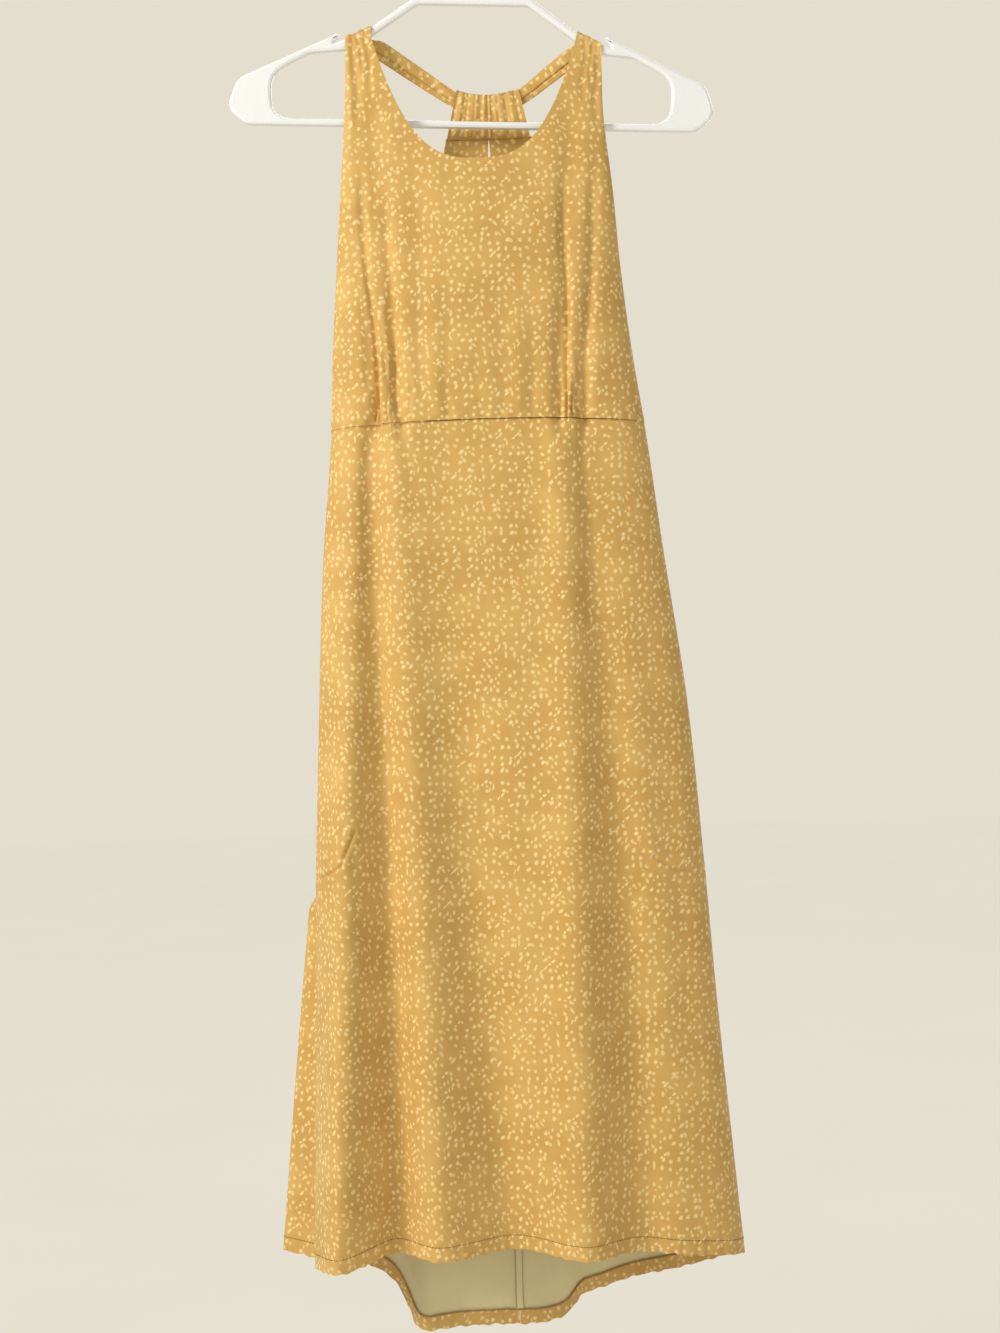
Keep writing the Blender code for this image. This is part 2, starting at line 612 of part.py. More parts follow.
def back_strap(name, stations, collection, around=10):
    """A folded band, drawn as a flat oval along its stations."""
    middles = np.array([row[:3] for row in stations])
    angles = np.radians(column(stations, STRAP_COLUMNS, "angle_deg"))
    halves = column(stations, STRAP_COLUMNS, "half_width")
    knots = np.arange(len(stations), dtype=float)
    rings = []
    for s in np.linspace(0, knots[-1], 11):
        middle = np.array([smooth_curve(knots, middles[:, i], s) for i in range(3)])
        angle = float(smooth_curve(knots, angles, s))
        half = float(smooth_curve(knots, halves, s))
        wide = np.array([math.cos(angle), 0.0, math.sin(angle)])
        ring = []
        for k in range(around):
            a = 2 * math.pi * k / around
            flat = math.copysign(abs(math.sin(a)) ** 0.6, math.sin(a))
            ring.append(middle + wide * half * math.cos(a)
                        + np.array([0.0, STRAP_THICKNESS / 2 * flat, 0.0]))
        rings.append(ring)
    return lofted_rings(name, rings, collection)


# ================================================================ hanger
def rounded_corners(corners, steps=4):
    """A closed outline with each corner replaced by an arc of its own radius."""
    points = []
    count = len(corners)
    for i in range(count):
        before, here, after = (np.array(corners[(i + k) % count][:2]) for k in (-1, 0, 1))
        radius = corners[i][2]
        arm_in, arm_out = before - here, after - here
        length_in, length_out = np.linalg.norm(arm_in), np.linalg.norm(arm_out)
        arm_in, arm_out = arm_in / length_in, arm_out / length_out
        half = math.acos(max(-1.0, min(1.0, float(arm_in @ arm_out)))) / 2
        cut = min(radius / math.tan(half), 0.49 * length_in, 0.49 * length_out)
        start, end = here + arm_in * cut, here + arm_out * cut
        for k in range(steps + 1):
            t = k / steps
            points.append((1 - t) ** 2 * start + 2 * t * (1 - t) * here + t * t * end)
    return points


def mirrored_outline(half, closing_down):
    """The whole outline from its right half, from the middle at the top round to the bottom."""
    right = [(out, down, corner) for _, out, down, corner in half]
    right.append((right[-1][0] * 0.5, closing_down, 0.0))
    left = [(-out, down, corner) for out, down, corner in reversed(right)]
    return right + left


def hanger_frame(collection):
    """Arch, rails, spade ends and bar in one flat moulding with rounded edges."""
    curve = bpy.data.curves.new("hanger_frame", "CURVE")
    curve.dimensions = "2D"
    curve.fill_mode = "BOTH"
    curve.extrude = HANGER_HALF_THICKNESS - HANGER_ROUNDING
    curve.bevel_depth = HANGER_ROUNDING
    curve.bevel_resolution = 1
    curve.offset = -HANGER_ROUNDING
    for half, bottom in ((HANGER_OUTER, HANGER_OUTER[-1][2]), (HANGER_INNER, HANGER_INNER[-1][2])):
        outline = rounded_corners(mirrored_outline(half, bottom))
        spline = curve.splines.new("POLY")
        spline.points.add(len(outline) - 1)
        for point, (out, down) in zip(spline.points, outline):
            point.co = (out, -down, 0.0, 1.0)
        spline.use_cyclic_u = True
    flat = bpy.data.objects.new("hanger_outline", curve)
    collection.objects.link(flat)
    bpy.context.view_layer.update()
    mesh = bpy.data.meshes.new_from_object(
        flat.evaluated_get(bpy.context.evaluated_depsgraph_get()))
    bpy.data.objects.remove(flat, do_unlink=True)
    work = bmesh.new()
    work.from_mesh(mesh)
    bmesh.ops.remove_doubles(work, verts=work.verts, dist=0.00002)
    bmesh.ops.dissolve_degenerate(work, edges=work.edges, dist=0.00002)
    for vert in work.verts:
        out, up, depth = vert.co
        x, z = on_hanger(out, -up)
        vert.co = (x, -depth, z)
    bmesh.ops.recalc_face_normals(work, faces=work.faces)
    work.to_mesh(mesh)
    work.free()
    mesh.name = "hanger_frame"
    mesh.materials.clear()
    new_object("hanger_frame", mesh, collection, "plastic")
    mesh.shade_smooth()
    mesh.set_sharp_from_angle(angle=math.radians(40))


def hanger_hook(collection):
    """A question mark of round section that stands on the arch."""
    centre_down = HOOK_RADIUS
    wire_radius = HOOK_RADIUS + HOOK_WIRE
    path = [(0.0, HOOK_STEM_FOOT), (0.0, 0.062), (0.0015, 0.056), (0.006, 0.049), (0.0125, 0.042)]
    for degrees in range(-38, 201, 14):
        angle = math.radians(degrees)
        path.append((wire_radius * math.cos(angle), centre_down - wire_radius * math.sin(angle)))
    curve = bpy.data.curves.new("hanger_hook", "CURVE")
    curve.dimensions = "3D"
    curve.bevel_depth = HOOK_WIRE
    curve.bevel_resolution = 2
    curve.use_fill_caps = True
    spline = curve.splines.new("POLY")
    spline.points.add(len(path) - 1)
    for point, (out, down) in zip(spline.points, path):
        x, z = on_hanger(out, down)
        point.co = (x, 0.0, z, 1.0)
    line = bpy.data.objects.new("hanger_hook_line", curve)
    collection.objects.link(line)
    bpy.context.view_layer.update()
    mesh = bpy.data.meshes.new_from_object(
        line.evaluated_get(bpy.context.evaluated_depsgraph_get()))
    bpy.data.objects.remove(line, do_unlink=True)
    work = bmesh.new()
    work.from_mesh(mesh)
    bmesh.ops.remove_doubles(work, verts=work.verts, dist=0.00002)
    bmesh.ops.recalc_face_normals(work, faces=work.faces)
    work.to_mesh(mesh)
    work.free()
    mesh.name = "hanger_hook"
    mesh.materials.clear()
    new_object("hanger_hook", mesh, collection, "plastic")
    mesh.shade_smooth()
    mesh.set_sharp_from_angle(angle=math.radians(40))


def main():
    clear_scene()
    collection = bpy.data.collections.new("sundress_on_hanger")
    bpy.context.scene.collection.children.link(collection)
    hanger_hook(collection)
    hanger_frame(collection)
    tube = Tube()
    front_bodice(tube, collection)
    for side in ("left", "right"):
        back_bodice(tube, collection, side)
    back_casing(collection)
    back_strap("back_strap_left", STRAP_LEFT, collection)
    back_strap("back_strap_right", STRAP_RIGHT, collection)
    build_skirt(tube, collection)


main()
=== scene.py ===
"""The looks of a jersey sundress on a plastic hanger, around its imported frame.

Metres, +Z up, the dress faces -Y. The form's tables say where its seams, edges and large folds lie;
CREASES and the functions beside it add the finer ones.
"""
import math

import bmesh
import bpy
import numpy as np
from mathutils import Matrix, Vector


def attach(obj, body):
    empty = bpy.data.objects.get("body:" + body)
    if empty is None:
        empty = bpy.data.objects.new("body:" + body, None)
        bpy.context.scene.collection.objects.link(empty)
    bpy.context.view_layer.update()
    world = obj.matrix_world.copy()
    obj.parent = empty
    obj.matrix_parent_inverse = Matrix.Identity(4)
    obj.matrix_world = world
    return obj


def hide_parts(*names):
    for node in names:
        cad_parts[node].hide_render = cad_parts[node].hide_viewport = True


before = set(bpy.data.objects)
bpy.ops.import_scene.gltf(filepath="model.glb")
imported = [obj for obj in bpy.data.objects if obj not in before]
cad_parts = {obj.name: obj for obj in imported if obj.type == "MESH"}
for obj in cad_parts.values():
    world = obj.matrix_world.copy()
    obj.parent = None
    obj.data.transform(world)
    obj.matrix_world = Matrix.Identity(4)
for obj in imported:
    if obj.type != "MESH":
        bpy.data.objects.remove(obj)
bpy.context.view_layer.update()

# ---------------------------------------------------------------- cloth
SEAM_GAP = 0.0004         # between two panels at a seam
LAYER_GAP = 0.0003        # between a layer and what lies on it
HEM_DEPTH = 0.0127        # the turned-up hem

# ---------------------------------------------------------------- heights below the hook
UNDERARM = -0.310
WAIST = -0.443            # empire seam at the centre front
WAIST_SIDE_DROP = 0.004
FLOUNCE_SEAM = -0.838     # where the back flounce joins, level with the front slash seams
HEM_FRONT = -1.156
HEM_SIDE = -1.173
HEM_BACK = -1.240
TUBE_TOP = -0.095
TUBE_BOTTOM = -1.260

# The flounce's lower edge by turn, from the right side seam (1) round the back to the left one (2).
BACK_HEM_COLUMNS = ("turn", "height")
BACK_HEM = (
    (1.00, -1.174),
    (1.14, -1.199),
    (1.29, -1.220),
    (1.348, -1.228),
    (1.383, -1.236),
    (1.50, HEM_BACK),
    (1.60, -1.239),
    (1.645, -1.237),
    (1.675, -1.222),
    (1.70, -1.205),
    (1.75, -1.189),
    (1.80, -1.178),
    (1.92, -1.168),
    (2.00, -1.171),
)

# Outline of the tube: the height of the section, the left and right edges, then how far back the
# side seam, the front and the back lie.
SECTION_COLUMNS = ("height", "left", "right", "side", "front", "back")
SECTIONS = (
    (-0.095, -0.1155, 0.1075, -0.0055, -0.0055, 0.0080),
    (-0.125, -0.1158, 0.1075, -0.0070, -0.0090, 0.0110),
    (-0.172, -0.1177, 0.1072, -0.0085, -0.0160, 0.0150),
    (-0.246, -0.1238, 0.1140, -0.0060, -0.0240, 0.0200),
    (-0.305, -0.1291, 0.1184, -0.0010, -0.0290, 0.0240),
    (-0.383, -0.1352, 0.1266, 0.0000, -0.0310, 0.0260),
    (-0.443, -0.1380, 0.1350, 0.0000, -0.0300, 0.0260),
    (-0.559, -0.1483, 0.1490, 0.0000, -0.0340, 0.0300),
    (-0.681, -0.1553, 0.1650, 0.0000, -0.0380, 0.0340),
    (-0.838, -0.1632, 0.1771, 0.0000, -0.0420, 0.0380),
    (-0.943, -0.1667, 0.1836, 0.0000, -0.0440, 0.0420),
    (-1.100, -0.1719, 0.1957, 0.0000, -0.0460, 0.0460),
    (-1.260, -0.1775, 0.2085, 0.0000, -0.0480, 0.0500),
)
ROUNDNESS = 2.5           # exponent of the superellipse that each half section follows

# Ridges (depth above 0) and valleys (below 0). "at" is the fold's place along its face: x on the
# front and the back, y on the left and the right. "width" is its half width, and "squareness" the
# power in its bell: 2 is a soft round fold and 12 a flat-bottomed one. Above its top it fades out over
# the height "fade".
FOLD_COLUMNS = ("name", "face", "top", "bottom", "at_top", "at_bottom",
                "depth_top", "depth_bottom", "width_top", "width_bottom", "squareness", "fade")
FOLDS = (
    ("bodice_left_outer", "front", -0.200, -0.440, -0.100, -0.096, 0.000, -0.005, 0.010, 0.005, 2, 0.030),
    ("bodice_left_inner", "front", -0.180, -0.440, -0.093, -0.076, -0.002, -0.005, 0.011, 0.006, 2, 0.030),
    ("bodice_right_inner", "front", -0.190, -0.440, 0.078, 0.060, -0.002, -0.005, 0.011, 0.006, 2, 0.030),
    ("bodice_right_outer", "front", -0.230, -0.440, 0.094, 0.082, 0.000, -0.004, 0.010, 0.006, 2, 0.030),
    ("left_front_ridge", "front", -0.445, -1.260, -0.118, -0.157, 0.002, 0.034, 0.016, 0.030, 2, 0.030),
    ("left_front_valley", "front", -0.445, -1.260, -0.101, -0.098, -0.004, -0.022, 0.010, 0.022, 2, 0.030),
    ("left_middle_ridge", "front", -0.445, -1.260, -0.082, -0.060, 0.003, 0.010, 0.018, 0.024, 2, 0.030),
    ("middle_valley", "front", -0.560, -1.260, -0.045, 0.010, 0.000, -0.024, 0.030, 0.030, 2, 0.030),
    ("right_middle_ridge", "front", -0.445, -1.260, 0.064, 0.062, 0.004, 0.017, 0.018, 0.028, 2, 0.030),
    ("right_front_valley", "front", -0.445, -1.260, 0.084, 0.114, -0.002, -0.012, 0.016, 0.026, 2, 0.030),
    ("flounce_ridge", "left", -0.868, -1.260, 0.025, 0.031, 0.024, 0.0600, 0.0155, 0.0205, 2, 0.030),
    ("flounce_tuck", "left", -0.870, -1.260, 0.004, 0.004, -0.005, -0.012, 0.009, 0.010, 2, 0.030),
    ("back_left_valley", "back", -0.480, -0.960, -0.060, -0.080, -0.002, -0.012, 0.020, 0.022, 2, 0.030),
    ("back_hollow", "back", -0.700, -1.260, -0.014, -0.017, -0.002, -0.026, 0.060, 0.0720, 12, 0.030),
    ("back_right_ridge", "back", -0.480, -1.260, 0.070, 0.110, 0.002, 0.008, 0.022, 0.030, 2, 0.030),
)
SIDE_FROM = 0.5           # share of the half width from which a fold on a side is felt

# ---------------------------------------------------------------- neckline, lobes and back
NECK_MIDDLE = -0.003      # x of the neckline's lowest point
NECK_BOTTOM = -0.2166
NECK_HALF_WIDTH = 0.090
NECK_RISE = 0.112
NECK_POWER = 2.90         # the scoop rises with this power of the distance from its middle
LOBE_BACK_DROP = 0.002    # how far a lobe comes down behind the rail
CENTRE_BACK_TOP = 0.007   # x of the centre back at the casing
CENTRE_BACK_HEM = 0.004
CASING_TOP = -0.145
CASING_DIP = 0.005
CASING_BOTTOM = -0.190
CASING_HALF_TOP = 0.027
CASING_HALF_BOTTOM = 0.037
CASING_DEPTH = 0.009
CASING_MIDDLE = 0.0152    # how far back its middle lies
KEYHOLE_BOTTOM = -0.246
KEYHOLE_HALF_WIDTH = 0.002

# The racer back: how far its edge lies from the centre back, by height.
RACER_COLUMNS = ("height", "half_width")
RACER_EDGE = (
    (-0.190, 0.038),
    (-0.203, 0.041),
    (-0.230, 0.050),
    (-0.260, 0.066),
    (-0.285, 0.090),
    (-0.302, 0.116),
    (-0.310, 0.140),
)

# Straps from behind the lobes to the casing: the middle of each section, the angle of its width in
# the plane of the hanger (0 is along +X, positive towards +Z) and its half width. Left side.
STRAP_COLUMNS = ("x", "y", "z", "angle_deg", "half_width")
STRAP_LEFT = (
    (-0.1040, 0.0057, -0.1051, 22.0, 0.0112),
    (-0.0965, 0.0068, -0.1078, 40.0, 0.0118),
    (-0.0860, 0.0085, -0.1112, 56.0, 0.0116),
    (-0.0600, 0.0118, -0.1285, 57.0, 0.0098),
    (-0.0300, 0.0147, -0.1488, 60.0, 0.0062),
    (-0.0120, 0.0152, -0.1595, 62.0, 0.0054),
)
STRAP_RIGHT = (
    (0.0965, 0.0057, -0.1157, -27.0, 0.0112),
    (0.0890, 0.0068, -0.1185, -44.0, 0.0115),
    (0.0790, 0.0085, -0.1240, -57.0, 0.0112),
    (0.0600, 0.0118, -0.1368, -58.0, 0.0094),
    (0.0430, 0.0147, -0.1488, -60.0, 0.0062),
    (0.0250, 0.0152, -0.1602, -62.0, 0.0054),
)
STRAP_THICKNESS = 0.0030

# ---------------------------------------------------------------- hanger
HANGER_TILT = math.radians(2.65)     # its right end hangs low
SADDLE_OUT = (0.0900, 0.1150)        # the stretch of the rail that a lobe lies on
SADDLE_DOWN = (0.1027, 0.1142)       # the rail's middle line there
SADDLE_REACH = 0.0055                # outer face of the lobe from the rail's middle line, along Y
SADDLE_RISE = 0.0060                 # and straight up
SADDLE_SQUARENESS = 0.7              # below 1, the lobe goes over the rail with squarer shoulders


def column(table, names, name):
    return np.array([row[names.index(name)] for row in table])


def smooth_curve(x_known, y_known, x):
    """Cubic curve through known points, with x_known rising."""
    slope = np.gradient(y_known, x_known)
    x = np.clip(x, x_known[0], x_known[-1])
    i = np.clip(np.searchsorted(x_known, x) - 1, 0, len(x_known) - 2)
    span = x_known[i + 1] - x_known[i]
    t = (x - x_known[i]) / span
    return ((1 + 2 * t) * (1 - t) ** 2 * y_known[i] + t * (1 - t) ** 2 * span * slope[i]
            + t * t * (3 - 2 * t) * y_known[i + 1] - t * t * (1 - t) * span * slope[i + 1])


def ease(t):
    t = np.clip(t, 0.0, 1.0)
    return t * t * (3 - 2 * t)


def outline_at(name, z):
    heights = column(SECTIONS, SECTION_COLUMNS, "height")[::-1]
    return smooth_curve(heights, column(SECTIONS, SECTION_COLUMNS, name)[::-1], z)


# ---------------------------------------------------------------- finer shape
THIN = 0.0009             # wall of the shells
CASING_THIN = 0.0008
SECTION_POINTS = 1201     # on each half of a section, before they are spaced evenly
SIDE_FINE = 560           # columns of the fine form over each half
ROWS_FINE = 420
EDGE_ROUNDS = 4           # of fitting a strip's edge to its curve
SHARP = math.radians(60)  # shells shade sharp past this angle
FOLD_SPREAD = 1.6         # folds reach their full depth where the section bulges 1 / 1.6 of its depth
BODICE_FOLD_END = 0.02    # folds that end this close to the waist fade out there

# Seams: how far one draws the cloth in, over what width.
SEAM_DIP = 0.0011
SEAM_WIDTH = 0.0016
SEAM_LEAP = 0.0008        # the bodice stands out this far over the waist seam
SEAM_SINK = 0.0010        # and the skirt starts this far in
SEAM_FADE = 0.0035
SEAM_SIDE = 0.105         # it flattens from here out, to this share of itself
SEAM_SIDE_REACH = 0.030
SEAM_FLATTENED = 0.85
SEAM_CLEAR = 0.00015      # from the seam's line to each edge
PANEL_CLEAR = 0.0002      # the same beside the side seams and the centre back, in turns
PUCKER = 0.0010           # the gathers just above the waist seam, and where they swell
PUCKER_ABOVE = 0.004
PUCKER_REACH = 0.003
UNEVEN = 0.0005           # soft unevenness of the whole dress

# The front's slash seams.
SLASH_DEPTH = 0.0026      # of their grooves, and the half width
SLASH_HALF_WIDTH = 0.0014
SLASH_PUFF = 0.0013       # the cloth puffs out beside them, over this width
SLASH_PUFF_WIDTH = 0.006
SLASH_SIDE = 0.148        # they flatten from here out to the side seam
SLASH_SIDE_REACH = 0.020
SLASH_FLATTENED = 0.8

# Creases: how far each runs in above its top and out below its foot, as shares of its length.
CREASE_RUN_IN = 0.15
CREASE_RUN_OUT = 0.06
CREASE_OUT_FADE = 0.08
CREASE_WANDER = 0.0012    # and it wanders sideways this far

# Hems, their stitches and the overlock on raw edges.
HEM_RIPPLE = 0.0005       # waves of the hem's lower edge
HEM_FRILL = 0.0006        # waves in and out, over the lowest part of the cloth
HEM_FRILL_HEIGHT = 0.03
STITCH_IN = 0.0004        # the stitches run this far below the band's edge
STITCH_OUT = 0.00015      # and stand out of the cloth this far
STITCH_COLUMNS = ("pitch", "length", "thickness")
HEM_STITCH = (0.0030, 0.0027, 0.00075)
OVERLOCK_STITCH = (0.0012, 0.0014, 0.00045)
HEM_OVERLOCK_WAVE = 0.0016
ALLOWANCE_OVERLOCK_WAVE = 0.0006
ALLOWANCE_WIDTH = 0.006   # of the pressed centre-back allowance, as it lies
NARROWEST_CUT = 0.012     # the narrowest strip is cut this wide

# Lobes over the hanger's rail.
LOBE_BLEND = 0.016        # their forward set at the rail fades out over this width
LOBE_FADE = 0.034         # and over this height
LOBE_CORNER = 0.0009      # their corners lie this much lower on the rail
LOBE_DEEPEST = 0.0009     # their creases stay clear of the rail

# Casing, back bodice and straps.
CASING_SLOT = 0.25        # angle that its foot stays open to each side
CASING_LAP = 0.0020       # the back bodice goes up into it this far
CASING_SQUARENESS = 0.6   # of its section, and of the straps'
CASING_STITCH_ABOVE = 0.011
CASING_STITCH_DIP = 0.0010
CASING_SEAM_DIP = 0.0014  # at its middle, and its half width as a share of the casing's
CASING_SEAM_WIDTH = 0.03
CASING_LIFT = 0.3         # share of each gather that also lifts the edges
KEYHOLE_SHARE = 0.6       # of its half width that stands open
FACED_SHARE = 0.36        # of the back bodice's rows that show the print inside
STRAP_GROOVE = 0.0011     # between a strap's two plies, and its half width as a share of the strap's
STRAP_GROOVE_WIDTH = 0.07
STRAP_PLY_AT = 0.28       # where the upper ply ends, as a share of the half width
STRAP_PLY_STEP = 0.0006
STRAP_RIPPLE = 0.0003
STRAP_SHELL_HALVES = (0.0088, 0.0086, 0.0082, 0.0077, 0.0068, 0.0062)   # at each section

# Creases of the front: x and height of each end, then depth at each end (below 0 a trough)
# and half width at each end.
CREASE_COLUMNS = ("x_top", "z_top", "x_bottom", "z_bottom", "depth_top", "depth_bottom",
                  "width_top", "width_bottom")
CREASES = (
    (-0.1080, -0.085, -0.1005, -0.132, -0.0016, -0.0006, 0.0013, 0.0016),
    (-0.1100, -0.085, -0.1060, -0.178, -0.0010, -0.0012, 0.0020, 0.0040),
    (-0.1120, -0.085, -0.1125, -0.210, 0.0006, 0.0008, 0.0024, 0.0040),
    (-0.0990, -0.085, -0.0940, -0.152, -0.0009, -0.0008, 0.0016, 0.0030),
    (0.1000, -0.095, 0.0965, -0.150, -0.0014, -0.0006, 0.0013, 0.0020),
    (0.1035, -0.095, 0.1010, -0.185, -0.0010, -0.0012, 0.0020, 0.0040),
    (0.0940, -0.095, 0.0900, -0.165, -0.0009, -0.0009, 0.0016, 0.0034),
    (-0.111, -0.262, -0.103, -0.412, -0.0005, -0.0016, 0.0060, 0.0036),
    (-0.1060, -0.230, -0.0925, -0.440, -0.0018, -0.0036, 0.0044, 0.0011),
    (-0.098, -0.300, -0.0895, -0.440, 0.0004, 0.0016, 0.0050, 0.0014),
    (-0.088, -0.372, -0.0860, -0.441, -0.0003, -0.0026, 0.0030, 0.0010),
    (-0.0975, -0.412, -0.0965, -0.441, -0.0003, -0.0018, 0.0016, 0.0010),
    (-0.0830, -0.250, -0.0790, -0.432, -0.0018, -0.0026, 0.0044, 0.0026),
    (-0.0875, -0.330, -0.0850, -0.438, 0.0006, 0.0014, 0.0030, 0.0014),
    (-0.068, -0.392, -0.0670, -0.440, -0.0002, -0.0014, 0.0030, 0.0018),
    (-0.0560, -0.220, -0.0580, -0.420, -0.0014, -0.0012, 0.0110, 0.0060),
    (-0.042, -0.320, -0.044, -0.438, 0.0004, 0.0010, 0.0100, 0.0050),
    (-0.034, -0.330, -0.036, -0.440, -0.0004, -0.0011, 0.0080, 0.0036),
    (-0.008, -0.370, -0.008, -0.440, -0.0003, -0.0008, 0.0080, 0.0040),
    (0.014, -0.340, 0.012, -0.440, -0.0003, -0.0010, 0.0100, 0.0040),
    (0.026, -0.330, 0.026, -0.440, 0.0003, 0.0008, 0.0080, 0.0040),
    (0.040, -0.300, 0.038, -0.440, -0.0003, -0.0011, 0.0100, 0.0036),
    (0.060, -0.390, 0.0625, -0.441, -0.0002, -0.0020, 0.0030, 0.0010),
    (0.0700, -0.240, 0.0676, -0.441, -0.0020, -0.0038, 0.0040, 0.0011),
    (0.0730, -0.360, 0.0696, -0.440, 0.0003, 0.0016, 0.0050, 0.0012),
    (0.0735, -0.385, 0.0718, -0.441, -0.0003, -0.0026, 0.0030, 0.0009),
    (0.0790, -0.372, 0.0765, -0.441, -0.0003, -0.0024, 0.0040, 0.0010),
    (0.0860, -0.350, 0.0820, -0.438, 0.0003, 0.0012, 0.0050, 0.0024),
    (0.0990, -0.225, 0.0820, -0.430, -0.0018, -0.0022, 0.0050, 0.0034),
    (-0.104, -0.446, -0.108, -0.600, -0.0016, -0.0010, 0.0040, 0.0100),
    (-0.088, -0.445, -0.090, -0.480, -0.0008, -0.0002, 0.0014, 0.0060),
    (-0.072, -0.446, -0.066, -0.560, -0.0012, -0.0008, 0.0050, 0.0120),
    (0.070, -0.445, 0.072, -0.485, -0.0008, -0.0002, 0.0014, 0.0060),
    (0.080, -0.446, 0.084, -0.620, -0.0014, -0.0016, 0.0040, 0.0090),
    (0.056, -0.446, 0.058, -0.560, 0.0010, 0.0008, 0.0060, 0.0110),
    (0.120, -0.560, 0.148, -0.820, -0.0006, -0.0020, 0.0140, 0.0150),
    (0.106, -0.700, 0.128, -0.818, 0.0004, 0.0010, 0.0100, 0.0080),
    (0.012, -0.520, 0.030, -0.760, 0.0008, 0.0014, 0.0200, 0.0240),
    (-0.034, -0.560, -0.030, -0.900, -0.0010, -0.0012, 0.0180, 0.0200),
    (-0.140, -0.640, -0.149, -0.790, -0.0004, -0.0018, 0.0100, 0.0090),
    (-0.1290, -0.802, -0.112, -0.930, -0.0012, -0.0006, 0.0040, 0.0120),
    (0.1240, -0.826, 0.108, -0.870, -0.0008, -0.0003, 0.0030, 0.0080),
    (0.150, -0.842, 0.158, -1.020, -0.0014, -0.0010, 0.0080, 0.0160),
    (-0.148, -0.834, -0.152, -0.980, -0.0010, -0.0010, 0.0060, 0.0120),
)
# The front's two short slash seams, from the side seam past a bend to the tip.
SLASH_COLUMNS = ("x_side", "z_side", "x_bend", "z_bend", "x_tip", "z_tip")
SLASHES = (
    (-0.163, -0.838, -0.137, -0.822, -0.125, -0.793),
    (0.177, -0.838, 0.152, -0.836, 0.129, -0.8215),
)
# Soft folds of the back, as CREASES.
BACK_CREASES = (
    (-0.050, -0.250, -0.060, -0.430, -0.0006, -0.0016, 0.0100, 0.0060),
    (0.060, -0.250, 0.066, -0.430, -0.0006, -0.0016, 0.0100, 0.0060),
    (-0.028, -0.300, -0.034, -0.440, 0.0004, 0.0010, 0.0090, 0.0060),
    (0.038, -0.300, 0.040, -0.440, 0.0004, 0.0010, 0.0090, 0.0060),
    (-0.090, -0.448, -0.096, -0.640, -0.0012, -0.0010, 0.0080, 0.0140),
    (0.092, -0.448, 0.100, -0.660, -0.0012, -0.0010, 0.0080, 0.0140),
    (-0.060, -0.842, -0.070, -1.000, -0.0016, -0.0012, 0.0060, 0.0160),
    (-0.110, -0.842, -0.118, -0.980, -0.0016, -0.0010, 0.0060, 0.0150),
    (0.040, -0.842, 0.046, -1.010, -0.0016, -0.0012, 0.0060, 0.0160),
    (0.120, -0.842, 0.128, -0.980, -0.0016, -0.0010, 0.0060, 0.0150),
)

# ---------------------------------------------------------------- print and colours
PRINT_SPACING = 0.0070
PRINT_WANDER = 0.0016     # how far the ovals stray from their cells
# Two layers of ovals: where the layer's cells lie, half sizes as shares of the spacing, share kept.
PRINT_COLUMNS = ("shift", "long", "short", "kept")
PRINT_LAYERS = (
    ((0.00, 0.00, 0.0), 0.290, 0.245, 0.97),
    ((0.47, 0.39, 0.0), 0.210, 0.170, 0.22),
)
PRINT_RANDOMNESS = 0.74
OVAL_LEAN = (0.62, 1.90)  # least lean, and how much more it may be
OVAL_EDGE = (0.55, 1.25)  # an oval fades out between these shares of its size
WALE = 0.0007             # spacing of the knit's wales and courses
COURSE = 0.0006
GROUND = (0.590, 0.345, 0.086)
GROUND_LIT = (0.665, 0.408, 0.112)
MOTIF = (0.900, 0.680, 0.300)
WRONG_SIDE = (0.700, 0.600, 0.320)
THREAD = (0.230, 0.130, 0.040)
OVERLOCK = (0.360, 0.220, 0.085)
PLASTIC = (0.86, 0.87, 0.86)

BACKGROUND = (0.775, 0.730, 0.620)
ROOM_LIGHT = 0.42

FLOOR_REACH = 7.0
FLOOR_BELOW = 0.25        # under the lowest hem
LIT_POINT = (0.0, 0.0, -0.65)
LIGHT_COLUMNS = ("name", "place", "size", "power", "colour")
LIGHTS = (
    ("key", (-2.3, -1.5, 0.8), 0.9, 78.0, (1.0, 0.975, 0.92)),
    ("fill", (1.6, -2.4, -0.2), 2.2, 13.0, (1.0, 0.99, 0.97)),
    ("rear", (0.6, 2.4, 0.8), 2.0, 26.0, (1.0, 0.98, 0.95)),
)
CAMERA_AT = (0.00306, -1.40, -0.6558)
CAMERA_ROLL = math.radians(1.7)
CAMERA_LENS = 43.2


